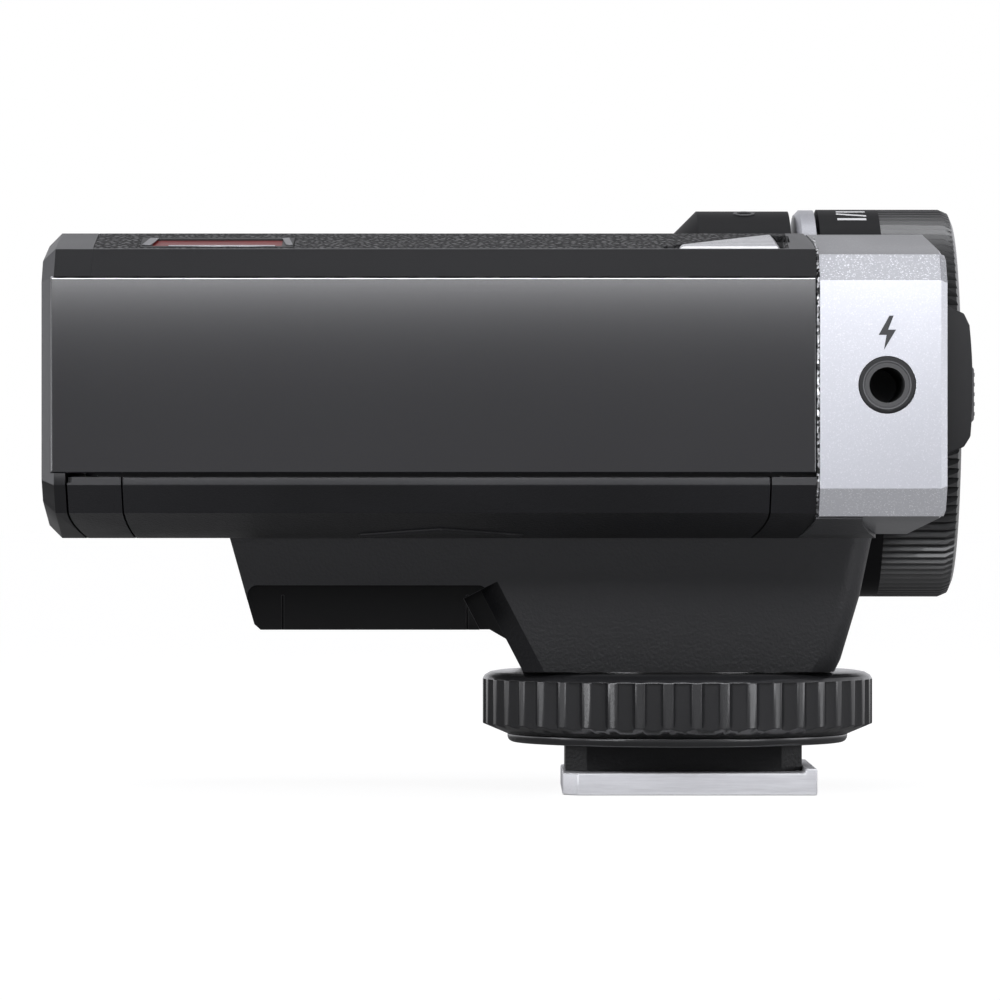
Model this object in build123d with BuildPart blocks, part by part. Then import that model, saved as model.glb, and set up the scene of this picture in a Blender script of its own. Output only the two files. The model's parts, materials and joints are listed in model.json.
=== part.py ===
"""Compact retro speedlight flash: shells, optics, battery bay, power dial and hot-shoe foot.

Units are millimetres. The origin is on the lock ring's axis at the underside of the foot plate.
+Z is up, +X points to the photographer's side (rear), -X to the subject (front), and -Y is the
side on the photographer's left, where the battery door and the sync jack are.
"""

from build123d import *
from math import cos, hypot, radians, sin, sqrt
import os

os.makedirs("parts", exist_ok=True)

# ---------------------------------------------------------------- driving dimensions
# Body cross-section, the same along the whole length and mirrored about Y = 0
HALF_WIDTH = 35.0
SIDE_LOW, SIDE_HIGH = 24.67, 40.45
BEVEL_Y = 33.0
BEVEL_LOW, BEVEL_HIGH = 22.55, 42.6
DECK_Y = 25.5
DECK_LOW, DECK_HIGH = 20.6, 44.1

# Stations along the body
FRONT_X = -49.13
PANEL_FRONT_X = -48.4
LOWER_FRONT_X = -47.27
UPPER_FRONT_X = -45.3
SHELL_REAR_X = 9.6
SILVER_FRONT_X, SILVER_REAR_X = 9.84, 19.52

# Shells, panels and the seam between them
SEAM_LOW, SEAM_HIGH = 25.28, 25.58
PANEL_THICKNESS = 1.0
HIDE_THICKNESS = 0.5
HIDE_Y = 32.7
HIDE_REAR_X = 7.6
SHELL_INSET = 2.4
FLOOR_INSET = 1.8
BEZEL_WALL = 1.8
FRONT_CHAMFER = 1.0
SEAM_GAP = 0.15
LIP_Y = (-33.94, -33.0)
NOTCH_X, NOTCH_LOW_Z = (-47.4, -46.8), 24.85

# How far the seams bend along X where they cross the body's sloping edges
BEND_STEPS = 4
FRONT_BEND = 1.0
DOOR_BENDS = (0.5, -1.1)
SHELL_BEND_HIGH, SHELL_BEND_LOW = -0.6, -1.1
SADDLE_BEND = 1.4

# Flash head
LENS_Y, LENS_Z = 10.5, 32.6
LENS_WIDTH, LENS_HEIGHT = 40.0, 16.2
LENS_FRONT_X = -48.75
LENS_CORNER = 1.4
LENS_LIP = 0.8
LENS_GROOVES = 11
REFLECTOR_MOUTH_X = -46.3
REFLECTOR_DEPTH = 10.6
REFLECTOR_SKIN = 0.5
TUBE_R = 1.5
SENSOR_Y, SENSOR_Z, SENSOR_R = -21.0, 36.5, 2.2

# Sensor window in the deck's sloping edge: along X and up the slope (v)
WINDOW_X, WINDOW_V = (-41.8, -30.1), (0.8, 5.2)
RED_WIDTH, RED_HEIGHT = 9.9, 3.4

# Main board
BOARD_Z = (39.3, 40.5)
BOARD_POSTS = [(-30.0, -23.5), (-30.0, 24.0), (-6.0, -23.5), (-6.0, 27.0)]

# Batteries: two AAA cells side by side, along X
CELL_R, CELL_LENGTH, NUB_R, NUB_LENGTH = 5.25, 43.6, 1.9, 0.9
CELL_Z = 28.3
CELL_YS = (-28.0, -17.1)
CELL_X = -18.6
CRADLE_X = (-42.6, 5.4)
CRADLE_Y = (-32.6, -11.7)
CRADLE_Z = (25.9, 34.6)

# Battery door
DOOR_X = (-42.95, 6.1)
DOOR_INNER_Y = -12.4
DOOR_GAP = 0.1
DOOR_SKIN = 1.0
DOOR_TAPER = 3.0

# Dial, hump and pocket, all about one axis along X
DIAL_Y, DIAL_Z = 12.0, 31.57
DIAL_R = 16.04
DIAL_X = (11.8, 22.87)
KNURL_FRONT_X = 16.75
KNURLS = 120
KNURL_DEPTH = 0.3
DIAL_RIM = 1.0
DIAL_SKIN = 1.6
DIAL_FACE_R, DIAL_FACE_DEPTH = 13.6, 0.5
HUMP_R = 15.9
HUMP_TOP_X = 1.85
HUMP_REAR_X = 9.43
HUMP_WALL = 1.4
BAND_R = 16.0
BAND_X = (9.93, 11.5)
POCKET_R = 16.45
SHAFT_R = 2.0
RUNNING_GAP = 0.05

# Rear block
SILVER_SIDE_LOW, SILVER_SIDE_HIGH = 24.4, 40.18
SILVER_BEVEL_LOW, SILVER_BEVEL_HIGH = 22.3, 42.2
SILVER_DECK_HIGH, SILVER_DECK_LOW = 44.0, 20.92
REAR_LEAN_HIGH, REAR_LEAN_LOW = 18.2, 17.0
TONGUE_DEPTH = 1.0
REAR_CHAMFER = 0.5
REAR_WALL = 1.6
PANEL_Y = (-31.6, -6.8)
PANEL_Z = (24.6, 40.0)
PANEL_REAR_X = 19.25

# Sync jack
JACK_X, JACK_Z = 14.93, 32.25
JACK_BORE_R, JACK_SLEEVE_R, JACK_COLLAR_R = 1.35, 1.7, 2.19
JACK_DEPTH = 11.0

# Slide switch on the rear
SWITCH_Y = (-30.0, -24.0)
SWITCH_SLOT_Y = (-28.7, -25.3)
SWITCH_SLOT_Z = (29.2, 35.8)
KNOB_HEIGHT = 4.6

# Test button and ready lamp
BUTTON_Y, BUTTON_Z, BUTTON_R = -13.6, 35.2, 3.2
BUTTON_TRAVEL = 0.6
LAMP_Z, LAMP_R = 27.8, 1.3

# Thumb lever: a wedge that lies in the deck's sloping edge and lifts at its wide rear end.
# Its outline is given along X and up the slope (v), its thickness across the slope (n).
LEVER_N = (-0.75, 0.15)
LEVER_TIP_X, LEVER_WIDE_X = -0.76, 7.07
LEVER_V = (0.4, 6.05)
LEVER_PIN_R = 0.2
LEVER_RIM_V = 0.27
RECESS_X = (-1.93, 7.8)
NAIL_V = (3.2, 6.35)

# Foot
PLATE_X = (-9.39, 10.92)
PLATE_HALF_WIDTH = 9.3
PLATE_Z = 1.78
STOP_Z = 2.15
STEM_X = (-9.13, 9.91)
STEM_HALF_WIDTH = 6.1
STEM_CORNER = 1.7
NECK_LOW_Z = 9.9
HOUSING_HALF_WIDTH = 12.0
HOUSING_SIDE = [(-35.8, 20.6), (-34.2, 14.9), (-33.85, 13.7), (-33.35, 13.25), (-15.2, 13.25), (-13.9, 12.5)]
HOUSING_SIDE += [(-12.55, 9.9), (12.2, 9.9), (12.7, 10.9), (14.2, 15.9), (15.2, 20.6)]
HOUSING_REAR_R = 1.8
NECK_CORNER, NECK_CORNER_TOP_Z = 1.5, 16.4
LABEL_X, LABEL_TOP_Z, LABEL_DEPTH, LABEL_CORNER = (-34.4, -15.3), 16.8, 0.25, 0.8
LABEL_GROOVES_X, GROOVE_WIDTH = (-31.7, -17.05), 0.2
SADDLE_X, SADDLE_Y, SADDLE_EDGE_Z = 13.2, 32.6, 22.1
FOOT_SCREW_SPOTS = [(-5.4, -3.6), (-5.4, 3.6), (6.2, -3.6), (6.2, 3.6)]
SLEEVE_R = 11.0
SLEEVE_LOW_Z = 5.4
RING_R = 15.79
RING_Z = (4.68, 9.75)
RING_FLUTES = 44
FLUTE_R = 0.85
FLUTE_OUT = 0.4
FLUTE_TOP_Z = 9.09
CLAMP_R = 13.77
CLAMP_Z = (3.98, 4.62)
CONTACT_R = 1.1
SPRING_TOP_Z = 7.9

# Index mark: a small raised ring on the hump's roof, turned towards the photographer's left
INDEX_X, INDEX_TURN = 5.75, radians(12)

FROM_END = (Align.CENTER, Align.CENTER, Align.MIN)
HIDE_DEPTH = HIDE_THICKNESS * (BEVEL_Y - DECK_Y) / hypot(BEVEL_Y - DECK_Y, DECK_HIGH - BEVEL_HIGH)
AXIS_DIAL = Axis((0, DIAL_Y, DIAL_Z), (1, 0, 0))
FACET = Plane(
    origin=(0, -BEVEL_Y, BEVEL_HIGH),
    x_dir=(1, 0, 0),
    z_dir=(0, -(DECK_HIGH - BEVEL_HIGH), BEVEL_Y - DECK_Y),
)
UP_SLOPE = Axis(FACET.origin, FACET.y_dir)
OFF_SLOPE = Axis(FACET.origin, FACET.z_dir)


# ---------------------------------------------------------------- shared outlines
def body_outline(inset=0.0):
    """Draw the body's whole cross-section, set in all round by inset."""
    half = [
        (HALF_WIDTH, SIDE_LOW),
        (HALF_WIDTH, SIDE_HIGH),
        (BEVEL_Y, BEVEL_HIGH),
        (DECK_Y, DECK_HIGH),
    ]
    other = [(-y, z) for y, z in reversed(half)]
    low = [(-BEVEL_Y, BEVEL_LOW), (-DECK_Y, DECK_LOW), (DECK_Y, DECK_LOW), (BEVEL_Y, BEVEL_LOW)]
    Polygon(*half, *other[:3], (-HALF_WIDTH, SIDE_LOW), *low, align=None)
    if inset:
        offset(amount=-inset, kind=Kind.INTERSECTION, mode=Mode.REPLACE)


def deck_strip(depth):
    """Draw the band that lies on the deck and its two sloping edges, depth thick."""
    edge_z = BEVEL_HIGH + (DECK_HIGH - BEVEL_HIGH) * (BEVEL_Y - HIDE_Y) / (BEVEL_Y - DECK_Y)
    top = [(-HIDE_Y, edge_z), (-DECK_Y, DECK_HIGH), (DECK_Y, DECK_HIGH), (HIDE_Y, edge_z)]
    Polygon(*top, *[(y, z - depth) for y, z in reversed(top)], align=None)


def box_between(xs, ys, zs, mode=Mode.ADD):
    """A block between two corners, given as ranges along X, Y and Z."""
    centre = [(low + high) / 2 for low, high in (xs, ys, zs)]
    with Locations(tuple(centre)):
        Box(xs[1] - xs[0], ys[1] - ys[0], zs[1] - zs[0], mode=mode)


def rod_x(radius, xs, y, z, mode=Mode.ADD):
    """A round bar along X."""
    with Locations((xs[0], y, z)):
        Cylinder(radius, xs[1] - xs[0], rotation=(0, 90, 0), align=FROM_END, mode=mode)


def rod_y(radius, ys, x, z, mode=Mode.ADD):
    """A round bar along Y."""
    with Locations((x, ys[0], z)):
        Cylinder(radius, ys[1] - ys[0], rotation=(-90, 0, 0), align=FROM_END, mode=mode)


def rod_z(radius, zs, x=0, y=0, mode=Mode.ADD):
    """A round bar along Z."""
    with Locations((x, y, zs[0])):
        Cylinder(radius, zs[1] - zs[0], align=FROM_END, mode=mode)


def bend(x, shift):
    """Plan points of a seam at x that bends by shift between the side and the deck."""
    steps = [i / BEND_STEPS for i in range(BEND_STEPS + 1)]
    return [(x + shift * t**2, BEVEL_Y + (DECK_Y - BEVEL_Y) * t) for t in steps]


def beyond_seam(x, shift, away_x):
    """Draw in plan all that lies between a bent seam across the body and away_x."""
    half = [(x, 40.0), *bend(x, shift)]
    Polygon(*half, *[(px, -y) for px, y in reversed(half)], (away_x, -40.0), (away_x, 40.0), align=None)


def saddle(front_x):
    """Build the thin flange of the foot's housing that wraps the rear block's underside."""
    slope = (SILVER_BEVEL_LOW - SILVER_DECK_LOW) / (BEVEL_Y - DECK_Y)
    top = [(SADDLE_Y, SILVER_DECK_LOW + slope * (SADDLE_Y - DECK_Y)), (DECK_Y, SILVER_DECK_LOW)]
    low = [(SADDLE_Y, SADDLE_EDGE_Z), (DECK_Y, DECK_LOW)]
    with BuildPart(mode=Mode.PRIVATE) as flange:
        with BuildSketch(Plane.YZ):
            ring = [*top, *[(-y, z) for y, z in reversed(top)], *[(-y, z) for y, z in low], *reversed(low)]
            Polygon(*ring, align=None)
        extrude(amount=30)
        with BuildSketch(Plane.XY.offset(15)):
            beyond_seam(front_x, SHELL_BEND_LOW, -1)
        extrude(amount=10, mode=Mode.SUBTRACT)
        with BuildSketch(Plane.XY.offset(15)):
            beyond_seam(SADDLE_X, SADDLE_BEND, 31)
        extrude(amount=10, mode=Mode.SUBTRACT)
    return flange.part


def dial_pocket(radius=POCKET_R, front_x=BAND_X[1]):
    """Cut the round space that the dial turns in, open to the rear."""
    rod_x(radius, (front_x, 30), DIAL_Y, DIAL_Z, mode=Mode.SUBTRACT)


def stem_outline(clearance=0.0):
    """Draw the stem's cross-section, a block with its four corners cut off."""
    x0, x1 = STEM_X[0] - clearance, STEM_X[1] + clearance
    y1, cut = STEM_HALF_WIDTH + clearance, STEM_CORNER
    side = [(x0, y1 - cut), (x0 + cut, y1), (x1 - cut, y1), (x1, y1 - cut)]
    Polygon(*side, *[(x, -y) for x, y in reversed(side)], align=None)


# ---------------------------------------------------------------- front bezel and optics
with BuildPart() as front_bezel:
    with BuildSketch(Plane.YZ.offset(FRONT_X)):
        body_outline()
    extrude(amount=UPPER_FRONT_X - FRONT_X)
    chamfer(front_bezel.faces().sort_by(Axis.X)[0].edges(), FRONT_CHAMFER)
    with BuildSketch(Plane.XY.offset(15)):
        beyond_seam(LOWER_FRONT_X, FRONT_BEND, UPPER_FRONT_X + 1)
    extrude(amount=SEAM_HIGH - 15, mode=Mode.SUBTRACT)
    with BuildSketch(Plane.YZ.offset(FRONT_X + BEZEL_WALL)):
        body_outline(FLOOR_INSET)
    extrude(amount=10, mode=Mode.SUBTRACT)
    for side in (-1, 1):
        inner, outer = HALF_WIDTH - PANEL_THICKNESS, HALF_WIDTH + 1
        ys = (side * inner, side * outer) if side > 0 else (side * outer, side * inner)
        box_between((PANEL_FRONT_X, 0), ys, (SEAM_HIGH, SIDE_HIGH), mode=Mode.SUBTRACT)
    # the window for the lens and a round hole for the light sensor
    with BuildSketch(Plane.YZ.offset(FRONT_X - 1)):
        with Locations((LENS_Y, LENS_Z)):
            RectangleRounded(LENS_WIDTH, LENS_HEIGHT, LENS_CORNER)
        with Locations((SENSOR_Y, SENSOR_Z)):
            Circle(SENSOR_R)
    extrude(amount=5, mode=Mode.SUBTRACT)
front_bezel.part.label = "front_bezel"
export_step(front_bezel.part, "parts/front_bezel.step")

with BuildPart() as fresnel_lens:
    with BuildSketch(Plane.YZ.offset(LENS_FRONT_X)):
        with Locations((LENS_Y, LENS_Z)):
            RectangleRounded(LENS_WIDTH - 0.06, LENS_HEIGHT - 0.06, LENS_CORNER - 0.03)
    extrude(amount=FRONT_X + BEZEL_WALL - LENS_FRONT_X)
    with BuildSketch(Plane.YZ.offset(FRONT_X + BEZEL_WALL)):
        with Locations((LENS_Y, LENS_Z)):
            RectangleRounded(LENS_WIDTH + 2 * LENS_LIP, LENS_HEIGHT + LENS_LIP, LENS_CORNER)
    extrude(amount=1.0)
    # prismatic grooves on the inner face, steeper towards the edges
    pitch = (LENS_HEIGHT - 1.0) / LENS_GROOVES
    inner_x = FRONT_X + BEZEL_WALL + 1.0
    for i in range(LENS_GROOVES):
        offset_z = (i - (LENS_GROOVES - 1) / 2) * pitch
        depth = 0.1 + 0.07 * abs(offset_z)
        lean = 0.45 * pitch * (1 if offset_z > 0 else -1 if offset_z < 0 else 0)
        with BuildSketch(Plane.XZ.offset(-LENS_Y)):
            Polygon(
                (inner_x, LENS_Z + offset_z - 0.47 * pitch),
                (inner_x - depth, LENS_Z + offset_z + lean),
                (inner_x, LENS_Z + offset_z + 0.47 * pitch),
                align=None,
            )
        extrude(amount=LENS_WIDTH / 2 - 1, both=True, mode=Mode.SUBTRACT)
fresnel_lens.part.label = "fresnel_lens"
export_step(fresnel_lens.part, "parts/fresnel_lens.step")

REFLECTOR_BACK_X = REFLECTOR_MOUTH_X + REFLECTOR_DEPTH
REFLECTOR_HALF = LENS_HEIGHT / 2 - 0.2
TUBE_X = REFLECTOR_BACK_X - REFLECTOR_HALF**2 / (4 * REFLECTOR_DEPTH) - 0.35


def parabola(half_height, mouth_x, back_x):
    """Draw the trough's section: a parabola closed by a straight line at its mouth."""
    low, high = (mouth_x, LENS_Z - half_height), (mouth_x, LENS_Z + half_height)
    with BuildLine() as section:
        Bezier(low, (2 * back_x - mouth_x, LENS_Z), high)
        Line(high, low)
    make_face(section.edges())


with BuildPart() as reflector:
    with BuildSketch(Plane.XZ.offset(-LENS_Y)):
        parabola(REFLECTOR_HALF + REFLECTOR_SKIN, REFLECTOR_MOUTH_X, REFLECTOR_BACK_X + REFLECTOR_SKIN)
    extrude(amount=LENS_WIDTH / 2 + REFLECTOR_SKIN, both=True)
    with BuildSketch(Plane.XZ.offset(-LENS_Y)):
        parabola(REFLECTOR_HALF, REFLECTOR_MOUTH_X, REFLECTOR_BACK_X)
    extrude(amount=LENS_WIDTH / 2, both=True, mode=Mode.SUBTRACT)
    rod_y(TUBE_R, (LENS_Y - 25, LENS_Y + 25), TUBE_X, LENS_Z, mode=Mode.SUBTRACT)
reflector.part.label = "reflector"
export_step(reflector.part, "parts/reflector.step")

TUBE_YS = (LENS_Y - LENS_WIDTH / 2 - 1.4, LENS_Y + LENS_WIDTH / 2 + 1.4)
with BuildPart() as flash_tube:
    rod_y(TUBE_R, TUBE_YS, TUBE_X, LENS_Z)
flash_tube.part.label = "flash_tube"
export_step(flash_tube.part, "parts/flash_tube.step")

with BuildPart() as tube_grommets:
    for ys in ((TUBE_YS[0], TUBE_YS[0] + 0.9), (TUBE_YS[1] - 0.9, TUBE_YS[1])):
        with BuildSketch(Plane.XZ.offset(-ys[1])):
            with Locations((TUBE_X, LENS_Z)):
                Circle(2.4)
                Circle(TUBE_R, mode=Mode.SUBTRACT)
        extrude(amount=ys[1] - ys[0])
tube_grommets.part.label = "tube_grommets"
export_step(tube_grommets.part, "parts/tube_grommets.step")

with BuildPart() as sensor_lens:
    with BuildSketch(Plane.YZ.offset(FRONT_X + 0.3)):
        with Locations((SENSOR_Y, SENSOR_Z)):
            Circle(SENSOR_R - 0.03)
    extrude(amount=BEZEL_WALL - 0.3)
    fillet(sensor_lens.faces().sort_by(Axis.X)[0].edges(), 0.6)
sensor_lens.part.label = "sensor_lens"
export_step(sensor_lens.part, "parts/sensor_lens.step")

with BuildPart() as front_sensor:
    behind = FRONT_X + BEZEL_WALL
    sensor_y = (SENSOR_Y - SENSOR_R, SENSOR_Y + SENSOR_R)
    box_between((behind, behind + 1.2), sensor_y, (SENSOR_Z - SENSOR_R, SENSOR_Z + SENSOR_R))
front_sensor.part.label = "front_sensor"
export_step(front_sensor.part, "parts/front_sensor.step")

# ---------------------------------------------------------------- upper shell with the dial's hump
SHELL_FRONT_X = UPPER_FRONT_X
LEVER_HINGE_X = LEVER_TIP_X + (LEVER_N[1] - LEVER_N[0]) / 2
LEVER_HINGE_N = sum(LEVER_N) / 2


def lever_outline():
    """Draw the wedge seen square to the slope."""
    Polygon(
        (LEVER_TIP_X, LEVER_V[0]),
        (LEVER_WIDE_X, LEVER_V[0]),
        (LEVER_WIDE_X - 0.33, LEVER_V[1]),
        (LEVER_WIDE_X - 0.9, LEVER_V[1]),
        (LEVER_TIP_X, LEVER_V[0] + 0.75),
        align=None,
    )


def lever_recess():
    """Draw the wedge-shaped hollow, with room for a fingernail behind the wide end."""
    Polygon(
        (RECESS_X[0], LEVER_RIM_V),
        (LEVER_WIDE_X + 0.15, LEVER_RIM_V),
        (LEVER_WIDE_X + 0.15, NAIL_V[0]),
        (RECESS_X[1], NAIL_V[0]),
        (RECESS_X[1], NAIL_V[1]),
        (LEVER_WIDE_X - 1.1, NAIL_V[1]),
        (RECESS_X[0], LEVER_V[0] + 0.9),
        align=None,
    )


def lever_pin_hole(radius, vs, mode=Mode.ADD):
    """A round bar across the slope, on the lever's hinge line."""
    with Locations(FACET.location * Location((LEVER_HINGE_X, vs[0], LEVER_HINGE_N))):
        Cylinder(radius, vs[1] - vs[0], rotation=(-90, 0, 0), align=FROM_END, mode=mode)


with BuildPart() as upper_shell:
    inner_side = HALF_WIDTH - PANEL_THICKNESS
    right = [(inner_side, SEAM_HIGH), (inner_side, SIDE_HIGH), (HALF_WIDTH, SIDE_HIGH)]
    right += [(BEVEL_Y, BEVEL_HIGH), (DECK_Y, DECK_HIGH)]
    with BuildSketch(Plane.YZ.offset(SHELL_FRONT_X)):
        Polygon(*right, *[(-y, z) for y, z in reversed(right)], align=None)
    extrude(amount=SHELL_REAR_X - SHELL_FRONT_X)
    with BuildSketch(Plane.YZ.offset(SHELL_FRONT_X)):
        deck_strip(HIDE_THICKNESS)
    extrude(amount=HIDE_REAR_X - SHELL_FRONT_X, mode=Mode.SUBTRACT)
    with BuildSketch(Plane.XY.offset(DECK_HIGH - SHELL_INSET - 0.8)):
        beyond_seam(SHELL_REAR_X, SHELL_BEND_HIGH, SHELL_REAR_X + 1)
    extrude(amount=10, mode=Mode.SUBTRACT)
    # the hump: a 45 degree front slope, then a round roof about the dial's axis
    with BuildSketch(Plane.XY.offset(DIAL_Z)):
        Polygon(
            (HUMP_TOP_X - HUMP_R, DIAL_Y),
            (HUMP_TOP_X, DIAL_Y + HUMP_R),
            (HUMP_REAR_X, DIAL_Y + HUMP_R),
            (HUMP_REAR_X, DIAL_Y),
            align=None,
        )
    revolve(axis=AXIS_DIAL, revolution_arc=180)
    with BuildSketch(Plane.YZ.offset(SHELL_FRONT_X)):
        body_outline(SHELL_INSET)
    extrude(amount=80, mode=Mode.SUBTRACT)
    with BuildSketch(Plane.XY.offset(DIAL_Z)):
        inside = HUMP_R - HUMP_WALL
        Polygon(
            (HUMP_TOP_X + HUMP_WALL * (sqrt(2) - 1) - inside, DIAL_Y),
            (HUMP_TOP_X + HUMP_WALL * (sqrt(2) - 1), DIAL_Y + inside),
            (HUMP_REAR_X + 1, DIAL_Y + inside),
            (HUMP_REAR_X + 1, DIAL_Y),
            align=None,
        )
    revolve(axis=AXIS_DIAL, revolution_arc=180, mode=Mode.SUBTRACT)
    # a lip behind the seam on the near side, deeper where the battery door is
    box_between((SHELL_FRONT_X, SHELL_REAR_X), LIP_Y, (SEAM_LOW + RUNNING_GAP, SEAM_HIGH + 0.5))
    box_between((DOOR_X[0] + 0.1, DOOR_X[1] - 0.1), LIP_Y, (SEAM_LOW - 0.15, SEAM_HIGH + 0.5))
    # room for the outer cell, and four posts for the main board
    rod_x(CELL_R + 0.15, (CRADLE_X[0] + 1, CRADLE_X[1] - 1), CELL_YS[0], CELL_Z, mode=Mode.SUBTRACT)
    for x, y in BOARD_POSTS:
        rod_z(1.4, (BOARD_Z[1], 42.4), x, y)
    # lever recess, pin hole and the sensor window's opening
    with BuildSketch(FACET.offset(LEVER_N[0] - 0.1)):
        lever_recess()
    extrude(amount=5, mode=Mode.SUBTRACT)
    lever_pin_hole(LEVER_PIN_R, (0.1, 2.2), mode=Mode.SUBTRACT)
    with BuildSketch(FACET.offset(-4)):
        with Locations((sum(WINDOW_X) / 2, sum(WINDOW_V) / 2)):
            Rectangle(RED_WIDTH + 0.5, RED_HEIGHT + 0.2)
    extrude(amount=6, mode=Mode.SUBTRACT)
upper_shell.part.label = "upper_shell"
export_step(upper_shell.part, "parts/upper_shell.step")

for name, side in (("side_panel_left", -1), ("side_panel_right", 1)):
    with BuildPart() as side_panel:
        inner, outer = HALF_WIDTH - PANEL_THICKNESS, HALF_WIDTH
        ys = (side * inner, side * outer) if side > 0 else (side * outer, side * inner)
        box_between((PANEL_FRONT_X, SHELL_REAR_X), ys, (SEAM_HIGH, SIDE_HIGH))
        chamfer(side_panel.faces().sort_by(Axis.Y)[0 if side < 0 else -1].edges(), 0.12)
    side_panel.part.label = name
    export_step(side_panel.part, f"parts/{name}.step")

with BuildPart() as top_leatherette:
    with BuildSketch(Plane.YZ.offset(UPPER_FRONT_X)):
        deck_strip(HIDE_THICKNESS)
    extrude(amount=HIDE_REAR_X - UPPER_FRONT_X)
    with BuildSketch(Plane.XY.offset(DIAL_Z)):
        Polygon(
            (HUMP_TOP_X - HUMP_R - 0.1, DIAL_Y),
            (HUMP_TOP_X - 0.1, DIAL_Y + HUMP_R),
            (HUMP_REAR_X, DIAL_Y + HUMP_R),
            (HUMP_REAR_X, DIAL_Y),
            align=None,
        )
    revolve(axis=AXIS_DIAL, revolution_arc=180, mode=Mode.SUBTRACT)
    with BuildSketch(FACET.offset(-2)):
        lever_recess()
        with Locations((sum(WINDOW_X) / 2, sum(WINDOW_V) / 2)):
            Rectangle(WINDOW_X[1] - WINDOW_X[0], WINDOW_V[1] - WINDOW_V[0])
    extrude(amount=5, mode=Mode.SUBTRACT)
top_leatherette.part.label = "top_leatherette"
export_step(top_leatherette.part, "parts/top_leatherette.step")

with BuildPart() as sensor_window_frame:
    with BuildSketch(FACET.offset(-HIDE_DEPTH)):
        with Locations((sum(WINDOW_X) / 2, sum(WINDOW_V) / 2)):
            Rectangle(WINDOW_X[1] - WINDOW_X[0], WINDOW_V[1] - WINDOW_V[0])
            Rectangle(RED_WIDTH, RED_HEIGHT, mode=Mode.SUBTRACT)
    extrude(amount=HIDE_DEPTH + 0.05)
sensor_window_frame.part.label = "sensor_window_frame"
export_step(sensor_window_frame.part, "parts/sensor_window_frame.step")

with BuildPart() as sensor_window:
    with BuildSketch(FACET.offset(-HIDE_THICKNESS - 1.0)):
        with Locations((sum(WINDOW_X) / 2, sum(WINDOW_V) / 2)):
            Rectangle(RED_WIDTH, RED_HEIGHT)
    extrude(amount=HIDE_THICKNESS + 0.9)
sensor_window.part.label = "sensor_window"
export_step(sensor_window.part, "parts/sensor_window.step")

with BuildPart() as slave_photodiode:
    with BuildSketch(FACET.offset(-HIDE_THICKNESS - 2.6)):
        with Locations((sum(WINDOW_X) / 2, sum(WINDOW_V) / 2)):
            Rectangle(4.4, 3.2)
    extrude(amount=1.6)
slave_photodiode.part.label = "slave_photodiode"
export_step(slave_photodiode.part, "parts/slave_photodiode.step")

with BuildPart() as thumb_lever:
    with BuildSketch(FACET.offset(LEVER_N[0])):
        lever_outline()
    extrude(amount=LEVER_N[1] - LEVER_N[0])
    fillet(thumb_lever.faces().sort_by(Axis.X)[0].edges().filter_by(UP_SLOPE), 0.44)
    wide_top = thumb_lever.faces().sort_by(OFF_SLOPE)[-1].edges().sort_by(Axis.X)[-1]
    chamfer(wide_top, 0.4)
    lever_pin_hole(LEVER_PIN_R + RUNNING_GAP, (-1, 3), mode=Mode.SUBTRACT)
thumb_lever.part.label = "thumb_lever"
export_step(thumb_lever.part, "parts/thumb_lever.step")

with BuildPart() as lever_pin:
    lever_pin_hole(LEVER_PIN_R, (0.1, 2.2))
lever_pin.part.label = "lever_pin"
export_step(lever_pin.part, "parts/lever_pin.step")

# ---------------------------------------------------------------- lower shell and battery bay
def door_plan(gap=0.0):
    """Draw the door's outline from below, narrower towards the inside so that it slides out."""
    front = [(x, -y) for x, y in bend(DOOR_X[0] - gap, DOOR_BENDS[0])]
    rear = [(x, -y) for x, y in bend(DOOR_X[1] + gap, DOOR_BENDS[1])]
    inner = DOOR_INNER_Y + gap
    ends = [(front[-1][0], inner), (DOOR_X[1] + gap - DOOR_TAPER, inner)]
    Polygon((front[0][0], -40.0), *front, *ends, *reversed(rear), (rear[0][0], -40.0), align=None)


SCREW_SPOTS = [(-40.4, 27.0), (-13.5, 27.0), (4.0, 27.0)]

with BuildPart() as lower_shell:
    with BuildSketch(Plane.YZ.offset(LOWER_FRONT_X)):
        body_outline()
    extrude(amount=SHELL_REAR_X - LOWER_FRONT_X)
    with BuildSketch(Plane.YZ.offset(LOWER_FRONT_X)):
        body_outline(FLOOR_INSET)
    extrude(amount=80, mode=Mode.SUBTRACT)
    box_between((-60, 30), (-40, 40), (SEAM_LOW, 60), mode=Mode.SUBTRACT)
    with BuildSketch(Plane.XY.offset(15)):
        beyond_seam(LOWER_FRONT_X + SEAM_GAP, FRONT_BEND, -60)
    extrude(amount=SEAM_HIGH - 15, mode=Mode.SUBTRACT)
    for ys in ((-40, -HALF_WIDTH + PANEL_THICKNESS), (HALF_WIDTH - PANEL_THICKNESS, 40)):
        box_between(NOTCH_X, ys, (NOTCH_LOW_Z, SEAM_HIGH), mode=Mode.SUBTRACT)
    add(saddle(SHELL_REAR_X), mode=Mode.SUBTRACT)
    # a tongue on the far side steps up inside the upper shell
    tongue_y = HALF_WIDTH - SHELL_INSET - RUNNING_GAP
    box_between((UPPER_FRONT_X, SHELL_REAR_X), (tongue_y - 1.2, tongue_y), (24.6, 27.0))
    with BuildSketch(Plane.XY.offset(15)):
        door_plan(DOOR_GAP)
    extrude(amount=30, mode=Mode.SUBTRACT)
    for x, y in SCREW_SPOTS:
        rod_z(2.6, (DECK_LOW + 0.9, SEAM_LOW), x, y)
        rod_z(1.9, (DECK_LOW - 1, DECK_LOW + 1.6), x, y, mode=Mode.SUBTRACT)
        rod_z(0.9, (DECK_LOW, 30), x, y, mode=Mode.SUBTRACT)
lower_shell.part.label = "lower_shell"
export_step(lower_shell.part, "parts/lower_shell.step")

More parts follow.
